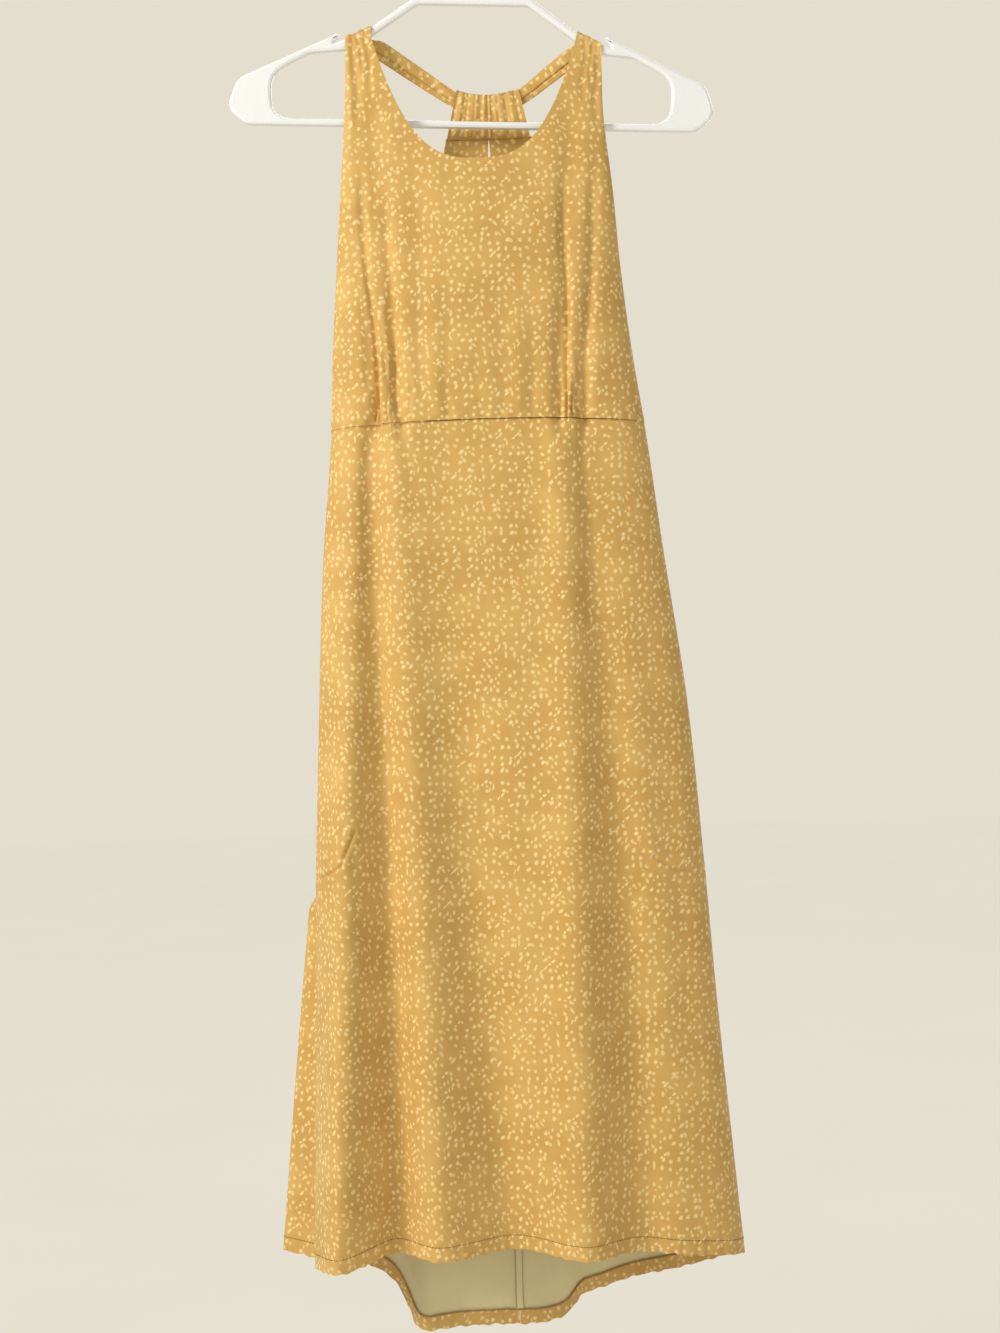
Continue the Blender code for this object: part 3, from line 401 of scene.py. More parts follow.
# ================================================================ the form, finely
class Form:
    """The outer face of the dress over turn and height: points, normals and length along the cloth."""

    def __init__(self, rows=ROWS_FINE, columns=SIDE_FINE):
        heights = np.linspace(TUBE_TOP, TUBE_BOTTOM, rows)
        wide = 2 * columns + 1
        self.points = np.zeros((rows, wide, 3))
        self.arc = np.zeros((rows, wide, 1))
        share = np.linspace(0.0, 1.0, columns + 1)
        for r, z in enumerate(heights):
            for half in (0, 1):
                x, y = self.section(z, half)
                length = np.concatenate(([0], np.cumsum(np.hypot(np.diff(x), np.diff(y)))))
                here = slice(half * columns, (half + 1) * columns + 1)
                self.points[r, here, 0] = np.interp(share * length[-1], length, x)
                self.points[r, here, 1] = np.interp(share * length[-1], length, y)
                self.points[r, here, 2] = z
                self.arc[r, here, 0] = (share - 0.5) * length[-1]
        along = np.gradient(self.points, axis=1)
        along[:, 0] = along[:, -1] = along[:, 1] + along[:, -2]
        up = -np.gradient(self.points, axis=0)
        normals = np.cross(along, up)
        self.normals = normals / np.linalg.norm(normals, axis=2, keepdims=True)

    def section(self, z, half):
        angle = np.linspace(0.0, math.pi, SECTION_POINTS)
        across = -np.sign(np.cos(angle)) * np.abs(np.cos(angle)) ** (2 / ROUNDNESS)
        bulge = np.sin(angle) ** (2 / ROUNDNESS)
        if half:
            across = -across
        left, right = outline_at("left", z), outline_at("right", z)
        side = outline_at("side", z)
        reach = outline_at("back" if half else "front", z)
        x = (left + right) / 2 + (right - left) / 2 * across
        y = side + (reach - side) * bulge
        x_plain, y_plain = x.copy(), y.copy()
        for row in FOLDS:
            fold = dict(zip(FOLD_COLUMNS, row))
            t = np.clip((z - fold["top"]) / (fold["bottom"] - fold["top"]), 0.0, 1.0)
            place = fold["at_top"] + (fold["at_bottom"] - fold["at_top"]) * t
            width = fold["width_top"] + (fold["width_bottom"] - fold["width_top"]) * t
            depth = fold["depth_top"] + (fold["depth_bottom"] - fold["depth_top"]) * t
            depth = depth * float(ease(1 - (z - fold["top"]) / fold["fade"]))
            if fold["bottom"] > WAIST - BODICE_FOLD_END:
                depth = depth * float(ease(1 - (fold["bottom"] - z) / fold["fade"]))
            if fold["face"] == ("back" if half else "front"):
                bell = np.exp(-np.abs((x_plain - place) / width) ** fold["squareness"])
                y = y + (1 if half else -1) * depth * bell * np.minimum(1.0, FOLD_SPREAD * bulge)
            elif fold["face"] in ("left", "right"):
                towards = -across if fold["face"] == "left" else across
                on_side = (towards - SIDE_FROM) / (1 - SIDE_FROM)
                bell = np.exp(-np.abs((y_plain - place) / width) ** fold["squareness"])
                x = x + (-1 if fold["face"] == "left" else 1) * depth * bell * ease(on_side)
        return x, y

    def look_up(self, values, turn, z):
        rows, columns = values.shape[:2]
        r = np.clip((z - TUBE_TOP) / (TUBE_BOTTOM - TUBE_TOP), 0, 1) * (rows - 1)
        c = np.clip(turn / 2, 0, 1) * (columns - 1)
        r0 = np.minimum(r.astype(int), rows - 2)
        c0 = np.minimum(c.astype(int), columns - 2)
        fr, fc = (r - r0)[..., None], (c - c0)[..., None]
        return ((values[r0, c0] * (1 - fc) + values[r0, c0 + 1] * fc) * (1 - fr)
                + (values[r0 + 1, c0] * (1 - fc) + values[r0 + 1, c0 + 1] * fc) * fr)

    def place(self, turn, z):
        """Points, normals and lengths along the cloth, with the fine creases in."""
        turn, z = np.broadcast_arrays(np.asarray(turn, float), np.asarray(z, float))
        normals = self.look_up(self.normals, turn, z)
        normals = normals / np.linalg.norm(normals, axis=-1, keepdims=True)
        points = self.look_up(self.points, turn, z)
        points = points + normals * relief(points[..., 0], z, turn > 1.0)[..., None]
        return points, normals, self.look_up(self.arc, turn, z)[..., 0]

    def turn_at(self, x, z, back=False):
        turns = np.linspace(1.0, 2.0, 601) if back else np.linspace(0.0, 1.0, 601)
        xs = self.look_up(self.points, turns, np.full(601, float(z)))[:, 0]
        if back:
            return float(np.interp(-x, -xs, turns))
        return float(np.interp(x, xs, turns))


def crease_relief(crease, x, z):
    """One crease: a bell across it, which wanders and changes along its length."""
    t = (z - crease["z_top"]) / (crease["z_bottom"] - crease["z_top"])
    inside = ease((t + CREASE_RUN_IN) / (2 * CREASE_RUN_IN))
    inside = inside * ease((1 + CREASE_RUN_OUT - t) / CREASE_OUT_FADE)
    t = np.clip(t, 0.0, 1.0)

    def along(name):
        return crease[name + "_top"] + (crease[name + "_bottom"] - crease[name + "_top"]) * t

    middle = along("x") + CREASE_WANDER * np.sin(9 * t + 40 * crease["x_top"])
    return along("depth") * inside * np.exp(-((x - middle) / along("width")) ** 2)


def slash_relief(slash, x, z):
    """One slash seam: a narrow groove, with the cloth puffed out on both sides of it."""
    ends = [(slash["x_" + name], slash["z_" + name]) for name in ("side", "bend", "tip")]
    near = np.full(x.shape, 1.0)
    for (ax, az), (bx, bz) in zip(ends, ends[1:]):
        along = ((x - ax) * (bx - ax) + (z - az) * (bz - az)) / ((bx - ax) ** 2 + (bz - az) ** 2)
        along = np.clip(along, 0.0, 1.0)
        near = np.minimum(near, np.hypot(x - ax - along * (bx - ax), z - az - along * (bz - az)))
    groove = SLASH_PUFF * np.exp(-(near / SLASH_PUFF_WIDTH) ** 2)
    groove = groove - SLASH_DEPTH * np.exp(-(near / SLASH_HALF_WIDTH) ** 2)
    return groove * (1 - SLASH_FLATTENED * ease((np.abs(x) - SLASH_SIDE) / SLASH_SIDE_REACH))


def waist_relief(x, z):
    """The step at the waist seam, and the gathers that swell just above it."""
    waist = WAIST - WAIST_SIDE_DROP * (x / 0.14) ** 2
    step = np.where(z > waist, SEAM_LEAP, -SEAM_SINK)
    step = step * (1 - SEAM_FLATTENED * ease((np.abs(x) - SEAM_SIDE) / SEAM_SIDE_REACH))
    pucker = 0.5 + 0.5 * np.sin(x * 330 + 3 * np.sin(x * 60))
    return (step * np.exp(-np.abs(z - waist) / SEAM_FADE)
            + PUCKER * pucker * np.exp(-((z - waist - PUCKER_ABOVE) / PUCKER_REACH) ** 2))


def hem_relief(x, z, back):
    hem = np.where(back, HEM_BACK - 0.004, HEM_FRONT - 0.006)
    frill = 0.6 * np.sin(x * 540 + 2 * np.sin(x * 47)) + 0.4 * np.sin(x * 890 + 1.7)
    return HEM_FRILL * frill * ease(1 - (z - hem) / HEM_FRILL_HEIGHT)


def relief(x, z, back):
    """How far the cloth stands out of (or dips into) its form at each point."""
    out = np.zeros_like(x)
    for table, side in ((CREASES, False), (BACK_CREASES, True)):
        for row in table:
            crease = dict(zip(CREASE_COLUMNS, row))
            out = out + np.where(back == side, crease_relief(crease, x, z), 0.0)
    for row in SLASHES:
        out = out + np.where(back, 0.0, slash_relief(dict(zip(SLASH_COLUMNS, row)), x, z))
    out = out + UNEVEN * np.sin(46 * x + 3.0 * z + 1.1) * np.sin(7.0 * z + 21 * x)
    out = out + waist_relief(x, z) + hem_relief(x, z, back)
    flounce_seam = np.exp(-np.abs(z - FLOUNCE_SEAM) / SEAM_WIDTH)
    return out - np.where(back, SEAM_DIP * flounce_seam, 0.0)


# ================================================================ meshes
def shell(name, points, normals, across, down, materials, wall=THIN, kept=None, faced_rows=0):
    """A thin wall on a grid: outer face, inner face and rims, with a UV map in metres.

    The inner face takes the last material, but the first on its top faced_rows.
    """
    rows, columns = points.shape[:2]
    if kept is None:
        kept = np.ones((rows - 1, columns - 1), bool)
    index = np.arange(rows * columns).reshape(rows, columns)
    count = rows * columns
    verts = np.concatenate((points.reshape(-1, 3), (points - wall * normals).reshape(-1, 3)))
    a, b = index[:-1, :-1][kept], index[1:, :-1][kept]
    c, d = index[1:, 1:][kept], index[:-1, 1:][kept]
    outer = np.stack((a, b, c, d), axis=1)
    inner = np.stack((d, c, b, a), axis=1) + count
    pairs = np.concatenate([np.stack(p, axis=1) for p in ((a, b), (b, c), (c, d), (d, a))])
    keys = pairs[:, 0].astype(np.int64) * count + pairs[:, 1]
    other = pairs[:, 1].astype(np.int64) * count + pairs[:, 0]
    rim = pairs[~np.isin(other, keys)]
    rims = np.stack((rim[:, 1], rim[:, 0], rim[:, 0] + count, rim[:, 1] + count), axis=1)
    faces = np.concatenate((outer, inner, rims))
    used = np.unique(faces)
    renumber = np.zeros(2 * count, int)
    renumber[used] = np.arange(len(used))
    faces = renumber[faces]
    uv = np.stack((across, down), axis=-1).reshape(-1, 2)
    uv = np.concatenate((uv, uv))[used]
    mesh = bpy.data.meshes.new(name)
    mesh.from_pydata(verts[used].tolist(), [], faces.tolist())
    layer = mesh.uv_layers.new(name="cloth")
    layer.data.foreach_set("uv", uv[faces.ravel()].astype(np.float32).ravel())
    for material in materials:
        mesh.materials.append(material)
    numbers = np.zeros(len(faces), np.int32)
    cell_row = np.nonzero(kept)[0]
    numbers[len(outer):len(outer) + len(inner)] = np.where(cell_row < faced_rows, 0, len(materials) - 1)
    mesh.polygons.foreach_set("material_index", numbers)
    mesh.shade_smooth()
    mesh.set_sharp_from_angle(angle=SHARP)
    mesh.update()
    thing = bpy.data.objects.new(name, mesh)
    bpy.context.scene.collection.objects.link(thing)
    return thing


def cloth_piece(thing, node):
    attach(thing, "root")
    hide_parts(node)


def spread(rows, *dense):
    """0 to 1 in rows steps, closer around each dense place: its share, reach and how many times."""
    fine = np.linspace(0.0, 1.0, 2001)
    density = np.ones_like(fine)
    for share, reach, times in dense:
        density += (times - 1) * np.exp(-((fine - share) / reach) ** 2)
    count = np.concatenate(([0.0], np.cumsum((density[1:] + density[:-1]) / 2)))
    return np.interp(np.linspace(0.0, count[-1], rows), count, fine)


def surface_area(points):
    a = np.cross(points[1:, :-1] - points[:-1, :-1], points[1:, 1:] - points[:-1, :-1])
    b = np.cross(points[1:, 1:] - points[:-1, :-1], points[:-1, 1:] - points[:-1, :-1])
    return float((np.linalg.norm(a, axis=2) + np.linalg.norm(b, axis=2)).sum() / 2)


def cut_of(points):
    """Width and length of the flat cut that a grid of points was made from, and its area."""
    steps = np.linalg.norm(np.diff(points, axis=1), axis=2).sum(axis=1)
    drops = np.linalg.norm(np.diff(points, axis=0), axis=2).sum(axis=0)
    width, length = float(steps.max()), float(drops.max())
    area = surface_area(points)
    width = max(width, NARROWEST_CUT)
    return (round(width, 3), round(length, 3)), round(min(area, width * length), 5)


# ================================================================ cut lines
def waist_height(turn):
    return WAIST - WAIST_SIDE_DROP * np.abs(2 * (np.asarray(turn) % 1.0) - 1) ** 2


def hem_ripple(turn):
    return HEM_RIPPLE * (np.sin(190 * turn) + 0.6 * np.sin(311 * turn + 1))


def front_hem_height(turn):
    turn = np.asarray(turn, float)
    return HEM_FRONT + (HEM_SIDE - HEM_FRONT) * np.abs(2 * turn - 1) ** 3


def back_hem_height(turn):
    turn = np.asarray(turn, float)
    return smooth_curve(column(BACK_HEM, BACK_HEM_COLUMNS, "turn"),
                        column(BACK_HEM, BACK_HEM_COLUMNS, "height"), turn)


def centre_back(z):
    share = (z - CASING_TOP) / (HEM_BACK - CASING_TOP)
    return CENTRE_BACK_TOP + (CENTRE_BACK_HEM - CENTRE_BACK_TOP) * share


def on_hanger(out, down):
    cosine, sine = math.cos(HANGER_TILT), math.sin(HANGER_TILT)
    return out * cosine - down * sine, -out * sine - down * cosine


def saddle_height(x, side):
    inner = on_hanger(side * SADDLE_OUT[0], SADDLE_DOWN[0])
    outer = on_hanger(side * SADDLE_OUT[1], SADDLE_DOWN[1])
    return inner[1] + (outer[1] - inner[1]) * (x - inner[0]) / (outer[0] - inner[0])


# ================================================================ cloth pieces
def front_bodice(form, materials, lobe_columns=34, neck_columns=330, rows=92, over_rows=15):
    reach = NECK_HALF_WIDTH
    left_edge, right_edge = outline_at("left", -0.105), outline_at("right", -0.115)
    left_inner, right_inner = NECK_MIDDLE - reach, NECK_MIDDLE + reach
    left = np.linspace(left_edge, left_inner, lobe_columns + 1)
    right = np.linspace(right_inner, right_edge, lobe_columns + 1)
    swing = np.sin(np.linspace(-1.0, 1.0, neck_columns + 1)[1:-1] * math.pi / 2)
    share = np.sign(swing) * np.abs(swing) ** 0.8
    xs = np.concatenate((left, NECK_MIDDLE + reach * share, right))
    zs = np.concatenate((saddle_height(left, -1),
                         NECK_BOTTOM + NECK_RISE * np.abs(share) ** NECK_POWER,
                         saddle_height(right, 1)))
    columns = len(xs)
    top_turn = np.array([form.turn_at(x, z) for x, z in zip(xs, zs)])
    top_turn[0], top_turn[-1] = 0.0, 1.0
    bottom_turn = np.linspace(0.0, 1.0, columns) * 0.5 + top_turn * 0.5
    down = spread(rows, (0.0, 0.03, 2.0), (1.0, 0.035, 6.0))
    turn = top_turn[None, :] + (bottom_turn - top_turn)[None, :] * down[:, None]
    seam = waist_height(bottom_turn) + SEAM_CLEAR
    z = zs[None, :] + (seam - zs)[None, :] * down[:, None]
    points, normals, arc = form.place(turn, z)
    smooth_top = form.look_up(form.points, turn[0], z[0])
    pleat = np.maximum(relief(smooth_top[:, 0], z[0], False), -LOBE_DEEPEST)
    lobe_share = np.ones(columns)
    lobe_share[:lobe_columns + 1] = np.linspace(-1.0, 1.0, lobe_columns + 1)
    lobe_share[-lobe_columns - 1:] = np.linspace(-1.0, 1.0, lobe_columns + 1)
    corner = LOBE_CORNER * np.abs(lobe_share) ** 5
    over_points, over_normals, over_down = [], [], []
    for k in range(over_rows, 0, -1):
        angle = math.pi * min(k / (over_rows - 1), 1.0)
        drop = LOBE_BACK_DROP if k == over_rows else 0.0
        row = smooth_top.copy()
        forward = math.copysign(abs(math.cos(angle)) ** SADDLE_SQUARENESS, math.cos(angle))
        rise = max(math.sin(angle), 0.0) ** SADDLE_SQUARENESS
        row[:, 1] = -(SADDLE_REACH + pleat) * forward
        row[:, 2] = zs + (SADDLE_RISE + pleat - corner) * rise - drop
        over_points.append(row)
        over_normals.append(np.tile((0.0, -math.cos(angle), math.sin(angle)), (columns, 1)))
        over_down.append(z[0] + angle * SADDLE_RISE)
    on_lobe = (xs < left_inner + 1e-6) | (xs > right_inner - 1e-6)
    shift = -SADDLE_REACH - smooth_top[:, 1]
    shift = np.interp(xs, xs[on_lobe], shift[on_lobe])
    share = ease((np.abs(xs - NECK_MIDDLE) - reach + LOBE_BLEND) / LOBE_BLEND)
    saddle = np.where(xs < NECK_MIDDLE, saddle_height(xs, -1), saddle_height(xs, 1))
    fade = ease(1 - (saddle[None, :] - z) / LOBE_FADE)
    points[:, :, 1] += shift[None, :] * share[None, :] * fade
    points = np.concatenate((np.array(over_points), points))
    normals = np.concatenate((np.array(over_normals), normals))
    across = np.concatenate((np.tile(arc[0], (over_rows, 1)), arc))
    fall = np.concatenate((np.array(over_down), z))
    kept = np.ones((points.shape[0] - 1, columns - 1), bool)
    kept[:over_rows, lobe_columns:columns - 1 - lobe_columns] = False
    thing = shell("bodice_front_cloth", points, normals, across, fall, materials, kept=kept)
    flat, area = cut_of(points[over_rows:])
    cloth_piece(thing, "front_bodice")


def strip(form, name, first, last, top, bottom, rows, columns, materials, inset=0.0,
          across_shift=0.0, dense=()):
    """A panel between two lines of turn and two heights, rows running down."""
    across = np.linspace(0.0, 1.0, columns)
    levels = np.linspace(TUBE_BOTTOM, UNDERARM, 120)
    starts = [first(v) for v in levels]
    ends = [last(v) for v in levels]

    def turns(z):
        begin = np.interp(z, levels, starts)
        return begin + (np.interp(z, levels, ends) - begin) * across

    z_top = top(turns(WAIST))
    z_bottom = bottom(turns(HEM_FRONT))
    for _ in range(EDGE_ROUNDS):
        z_top = top(turns(z_top))
        z_bottom = bottom(turns(z_bottom))
    z = z_top[None, :] + (z_bottom - z_top)[None, :] * spread(rows, *dense)[:, None]
    turn = turns(z)
    points, normals, arc = form.place(turn, z)
    points = points - inset * normals
    return shell(name, points, normals, arc + across_shift, z, materials), points


def skirt(form, printed, plain):
    """Front skirt, back skirt and flounce, and the turned-up hems inside them."""
    def seam(shift):
        return lambda z: form.turn_at(centre_back(z), z, back=True) + shift

    def fixed(turn):
        return lambda z: turn

    def level(value):
        return lambda turn: value + 0.0 * np.asarray(turn)

    cloth = (printed, plain)
    near_ends = (0.0, 0.02, 6.0), (1.0, 0.03, 4.0)
    slash = (WAIST - SLASHES[0][3]) / (WAIST - HEM_FRONT)

    def sewn(name, node, *shape, slot="jersey", **more):
        thing, points = strip(form, name, *shape, **more)
        flat, area = cut_of(points)
        cloth_piece(thing, node)

    def below_waist(turn):
        return waist_height(turn) - SEAM_CLEAR

    def above(hem):
        return lambda turn: hem(turn) + HEM_DEPTH

    def rippled(hem):
        return lambda turn: hem(turn) + hem_ripple(turn)

    whole = fixed(PANEL_CLEAR), fixed(1 - PANEL_CLEAR)
    sewn("skirt_front_cloth", "front_skirt", *whole, below_waist, rippled(front_hem_height),
         175, 268, cloth,
         dense=(*near_ends, (slash, 0.045, 7.0)))
    sewn("hem_front_cloth", "front_hem", *whole, above(front_hem_height),
         rippled(front_hem_height), 7, 268, (printed,), inset=THIN + LAYER_GAP, across_shift=0.11)
    halves = {"right": (fixed(1 + PANEL_CLEAR), seam(-PANEL_CLEAR)),
              "left": (seam(PANEL_CLEAR), fixed(2 - PANEL_CLEAR))}
    for side, lines in halves.items():
        sewn("skirt_back_cloth_" + side, "back_skirt_" + side, *lines, below_waist,
             level(FLOUNCE_SEAM), 80, 170, cloth, across_shift=0.3, dense=near_ends)
        sewn("flounce_cloth_" + side, "back_flounce_" + side, *lines, level(FLOUNCE_SEAM - PANEL_CLEAR),
             rippled(back_hem_height), 90, 240, cloth, across_shift=0.6, dense=near_ends)
        sewn("hem_back_cloth_" + side, "back_hem_" + side, *lines, above(back_hem_height),
             rippled(back_hem_height), 7, 240, (printed,), inset=THIN + LAYER_GAP, across_shift=0.9)
    edges = [lambda z, s=s: form.turn_at(centre_back(z) - s * ALLOWANCE_WIDTH / 2, z, back=True)
             for s in (-1, 1)]
    sewn("allowance_cloth", "back_seam_allowance", *edges, level(FLOUNCE_SEAM - PANEL_CLEAR),
         above(back_hem_height), 90, 7, (plain,), inset=THIN + LAYER_GAP, slot="jersey_wrong_side")
    stitching(form, whole, halves)


def back_bodice(form, side, materials, rows=110, columns=90):
    heights = column(RACER_EDGE, RACER_COLUMNS, "height")[::-1]
    widths = column(RACER_EDGE, RACER_COLUMNS, "half_width")[::-1]
    sign = -1 if side == "left" else 1
    turn = np.zeros((rows, columns))
    z = np.zeros((rows, columns))
    for r, height in enumerate(np.linspace(CASING_BOTTOM + CASING_LAP, WAIST, rows)):
        open_share = (height - KEYHOLE_BOTTOM) / (CASING_BOTTOM - KEYHOLE_BOTTOM)
        swell = math.sin(math.pi * min(max(open_share, 0.0), 1.0)) ** 0.7
        slit = KEYHOLE_SHARE * KEYHOLE_HALF_WIDTH * swell
        inner_x = centre_back(height) + sign * (slit + SEAM_GAP / 4)
        inner = form.turn_at(inner_x, height, back=True)
        outer = 1.9996 if side == "left" else 1.0004
        if height > UNDERARM:
            edge = centre_back(height) + sign * float(smooth_curve(heights, widths, height))
            edge_turn = form.turn_at(edge, height, back=True)
            outer = min(outer, edge_turn) if side == "left" else max(outer, edge_turn)
        turn[r] = np.linspace(inner, outer, columns)
        z[r] = height
    z += (waist_height(turn[-1]) + SEAM_CLEAR - WAIST)[None, :] * np.linspace(0, 1, rows)[:, None] ** 4
    if side == "right":
        turn, z = turn[:, ::-1], z[:, ::-1]
    points, normals, arc = form.place(turn, z)
    faced = int(rows * FACED_SHARE)
    thing = shell("bodice_back_cloth_" + side, points, normals, arc + 0.5, z, materials,
                  faced_rows=faced)
    flat, area = cut_of(points)
    cloth_piece(thing, "back_bodice_" + side)


def back_casing(material, around=72, along=150):
    """A flat tube with the gathers of its drawn-in cloth, open along its foot for the bodice's top."""
    shares = np.linspace(-1.0, 1.0, along)
    foot = -math.pi / 2 + CASING_SLOT
    ring_angle = np.linspace(foot, math.pi - foot, around + 1)
    points = np.zeros((around + 1, along, 3))
    normals = np.zeros_like(points)
    dip = CASING_DIP * (1 - shares ** 2)
    seam = CASING_SEAM_DIP * np.exp(-(shares / CASING_SEAM_WIDTH) ** 2)
    coarse = 0.00035 * np.sin(shares * 31 + 2 * np.sin(shares * 5)) + 0.00045 * np.sin(shares * 17 + 2.0)
    gathers = coarse + 0.00012 * np.sin(shares * 57 + 1.0) - seam
    for k, angle in enumerate(ring_angle):
        rise = math.copysign(abs(math.sin(angle)) ** CASING_SQUARENESS, math.sin(angle))
        top, bottom = CASING_TOP - dip, CASING_BOTTOM
        z = (top + bottom) / 2 + (top - bottom) / 2 * rise
        widen = (CASING_TOP - z) / (CASING_TOP - CASING_BOTTOM)
        half = CASING_HALF_TOP + (CASING_HALF_BOTTOM - CASING_HALF_TOP) * widen
        stitched = np.exp(-((z - CASING_BOTTOM - CASING_STITCH_ABOVE) / SEAM_WIDTH) ** 2)
        face = math.cos(angle)
        points[k, :, 0] = centre_back(z) + shares * half
        points[k, :, 1] = (CASING_MIDDLE + CASING_DEPTH / 2 * face
                           + np.sign(face) * (gathers * (1 - stitched) - CASING_STITCH_DIP * stitched))
        points[k, :, 2] = z + CASING_LIFT * gathers * abs(rise)
        normals[k, :, 1] = face
        normals[k, :, 2] = rise
    normals /= np.linalg.norm(normals, axis=2, keepdims=True)
    points = points[::-1].transpose(1, 0, 2)[:, ::-1]
    normals = normals[::-1].transpose(1, 0, 2)[:, ::-1]
    across = np.tile(shares[:, None] * 0.036, (1, around + 1))
    down = points[..., 2] + np.where(normals[..., 1] > 0, 0.31, 0.0)
    thing = shell("casing_cloth", points, normals, across, down, (material,), wall=CASING_THIN)
    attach(thing, "root")
    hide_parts("back_casing")


def back_strap(name, node, stations, lower, material, around=96, along=90):
    """A folded band: an oval section with its plies' edge as a step, towards its lower side (-1 or 1)."""
    middles = np.array([row[:3] for row in stations])
    angles = np.radians(column(stations, STRAP_COLUMNS, "angle_deg"))
    halves = np.array(STRAP_SHELL_HALVES)
    knots = np.arange(len(stations), dtype=float)
    steps = np.linspace(0, knots[-1], along)
    halfway = np.arccos(np.linspace(1.0, -1.0, around // 2, endpoint=False))
    ring = np.concatenate((halfway, halfway + math.pi))
    verts, faces, uvs = [], [], []
    travelled, last = 0.0, None
    for i, s in enumerate(steps):
        middle = np.array([float(smooth_curve(knots, middles[:, j], s)) for j in range(3)])
        if last is not None:
            travelled += float(np.linalg.norm(middle - last))
        last = middle
        angle, half = float(smooth_curve(knots, angles, s)), float(smooth_curve(knots, halves, s))
        wide = np.array([math.cos(angle), 0.0, math.sin(angle)])
        for a in ring:
            flat = math.copysign(abs(math.sin(a)) ** CASING_SQUARENESS, math.sin(a))
            below = lower * math.cos(a) - STRAP_PLY_AT
            groove = STRAP_GROOVE * math.exp(-(below / STRAP_GROOVE_WIDTH) ** 2)
            groove += STRAP_PLY_STEP * float(ease(below / STRAP_GROOVE_WIDTH + 0.5))
            ripple = STRAP_RIPPLE * math.sin(5.0 * math.cos(a) + 0.35 * i)
            depth = (STRAP_THICKNESS / 2 - groove + ripple) * flat
            verts.append(middle + wide * half * math.cos(a) + np.array([0.0, depth, 0.0]))
            uvs.append((a * half * 0.64 + 0.2, travelled))
    for i in range(along - 1):
        for k in range(around):
            n = (k + 1) % around
            faces.append((i * around + k, i * around + n, (i + 1) * around + n, (i + 1) * around + k))
    faces.append(tuple(range(around))[::-1])
    faces.append(tuple(range((along - 1) * around, along * around)))
    mesh = bpy.data.meshes.new(name)
    mesh.from_pydata([tuple(v) for v in verts], [], faces)
    layer = mesh.uv_layers.new(name="cloth")
    for loop in mesh.loops:
        layer.data[loop.index].uv = uvs[loop.vertex_index]
    work = bmesh.new()
    work.from_mesh(mesh)
    bmesh.ops.recalc_face_normals(work, faces=work.faces)
    work.to_mesh(mesh)
    work.free()
    mesh.materials.append(material)
    mesh.shade_smooth()
    mesh.set_sharp_from_angle(angle=SHARP)
    thing = bpy.data.objects.new(name, mesh)
    bpy.context.scene.collection.objects.link(thing)
    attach(thing, "root")
    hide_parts(node)


# ================================================================ stitches by Geometry Nodes
def stitch_tree():
    """Small threads laid end to end along a path, each pitch apart."""
    tree = bpy.data.node_groups.new("stitches_along_path", "GeometryNodeTree")
    face = tree.interface
    face.new_socket("Path", in_out="INPUT", socket_type="NodeSocketGeometry")
    for name in ("Pitch", "Length", "Thickness"):
        face.new_socket(name, in_out="INPUT", socket_type="NodeSocketFloat")
    face.new_socket("Thread", in_out="INPUT", socket_type="NodeSocketMaterial")
    face.new_socket("Stitches", in_out="OUTPUT", socket_type="NodeSocketGeometry")

    def node(kind, **settings):
        made = tree.nodes.new(kind)
        for key, value in settings.items():
            setattr(made, key, value)
        return made

    link = tree.links.new
    start, end = node("NodeGroupInput"), node("NodeGroupOutput")
    curve = node("GeometryNodeMeshToCurve")
    points = node("GeometryNodeCurveToPoints", mode="LENGTH")
    bead = node("GeometryNodeMeshUVSphere")
    bead.inputs["Segments"].default_value = 6
    bead.inputs["Rings"].default_value = 4
    bead.inputs["Radius"].default_value = 0.5
    size = node("ShaderNodeCombineXYZ")
    place = node("GeometryNodeInstanceOnPoints")
    real = node("GeometryNodeRealizeInstances")
    finish = node("GeometryNodeSetMaterial")
    link(start.outputs["Path"], curve.inputs[0])
    link(curve.outputs[0], points.inputs[0])
    link(start.outputs["Pitch"], points.inputs["Length"])
    link(start.outputs["Thickness"], size.inputs[0])
    link(start.outputs["Thickness"], size.inputs[1])
    link(start.outputs["Length"], size.inputs[2])
    link(points.outputs["Points"], place.inputs["Points"])
    link(points.outputs["Rotation"], place.inputs["Rotation"])
    link(bead.outputs["Mesh"], place.inputs["Instance"])
    link(size.outputs[0], place.inputs["Scale"])
    link(place.outputs[0], real.inputs[0])
    link(real.outputs[0], finish.inputs[0])
    link(start.outputs["Thread"], finish.inputs["Material"])
    link(finish.outputs[0], end.inputs[0])
    return tree


def laid_along(name, paths, tree, thread, stitch):
    """One plain mesh of the stitches along several lines of points."""
    verts, edges = [], []
    for path in paths:
        edges += [(len(verts) + i, len(verts) + i + 1) for i in range(len(path) - 1)]
        verts += [tuple(p) for p in path]
    mesh = bpy.data.meshes.new(name + "_path")
    mesh.from_pydata(verts, edges, [])
    carrier = bpy.data.objects.new(name + "_path", mesh)
    bpy.context.scene.collection.objects.link(carrier)
    modifier = carrier.modifiers.new("stitches", "NODES")
    modifier.node_group = tree
    values = {size.title(): value for size, value in zip(STITCH_COLUMNS, stitch)}
    values["Thread"] = thread
    for item in tree.interface.items_tree:
        if item.in_out == "INPUT" and item.name in values:
            modifier[item.identifier] = values[item.name]
    bpy.context.view_layer.update()
    made = bpy.data.meshes.new_from_object(
        carrier.evaluated_get(bpy.context.evaluated_depsgraph_get()))
    carrier.modifiers.clear()
    bpy.data.objects.remove(carrier, do_unlink=True)
    made.name = name
    made.shade_smooth()
    thing = bpy.data.objects.new(name, made)
    bpy.context.scene.collection.objects.link(thing)
    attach(thing, "root")


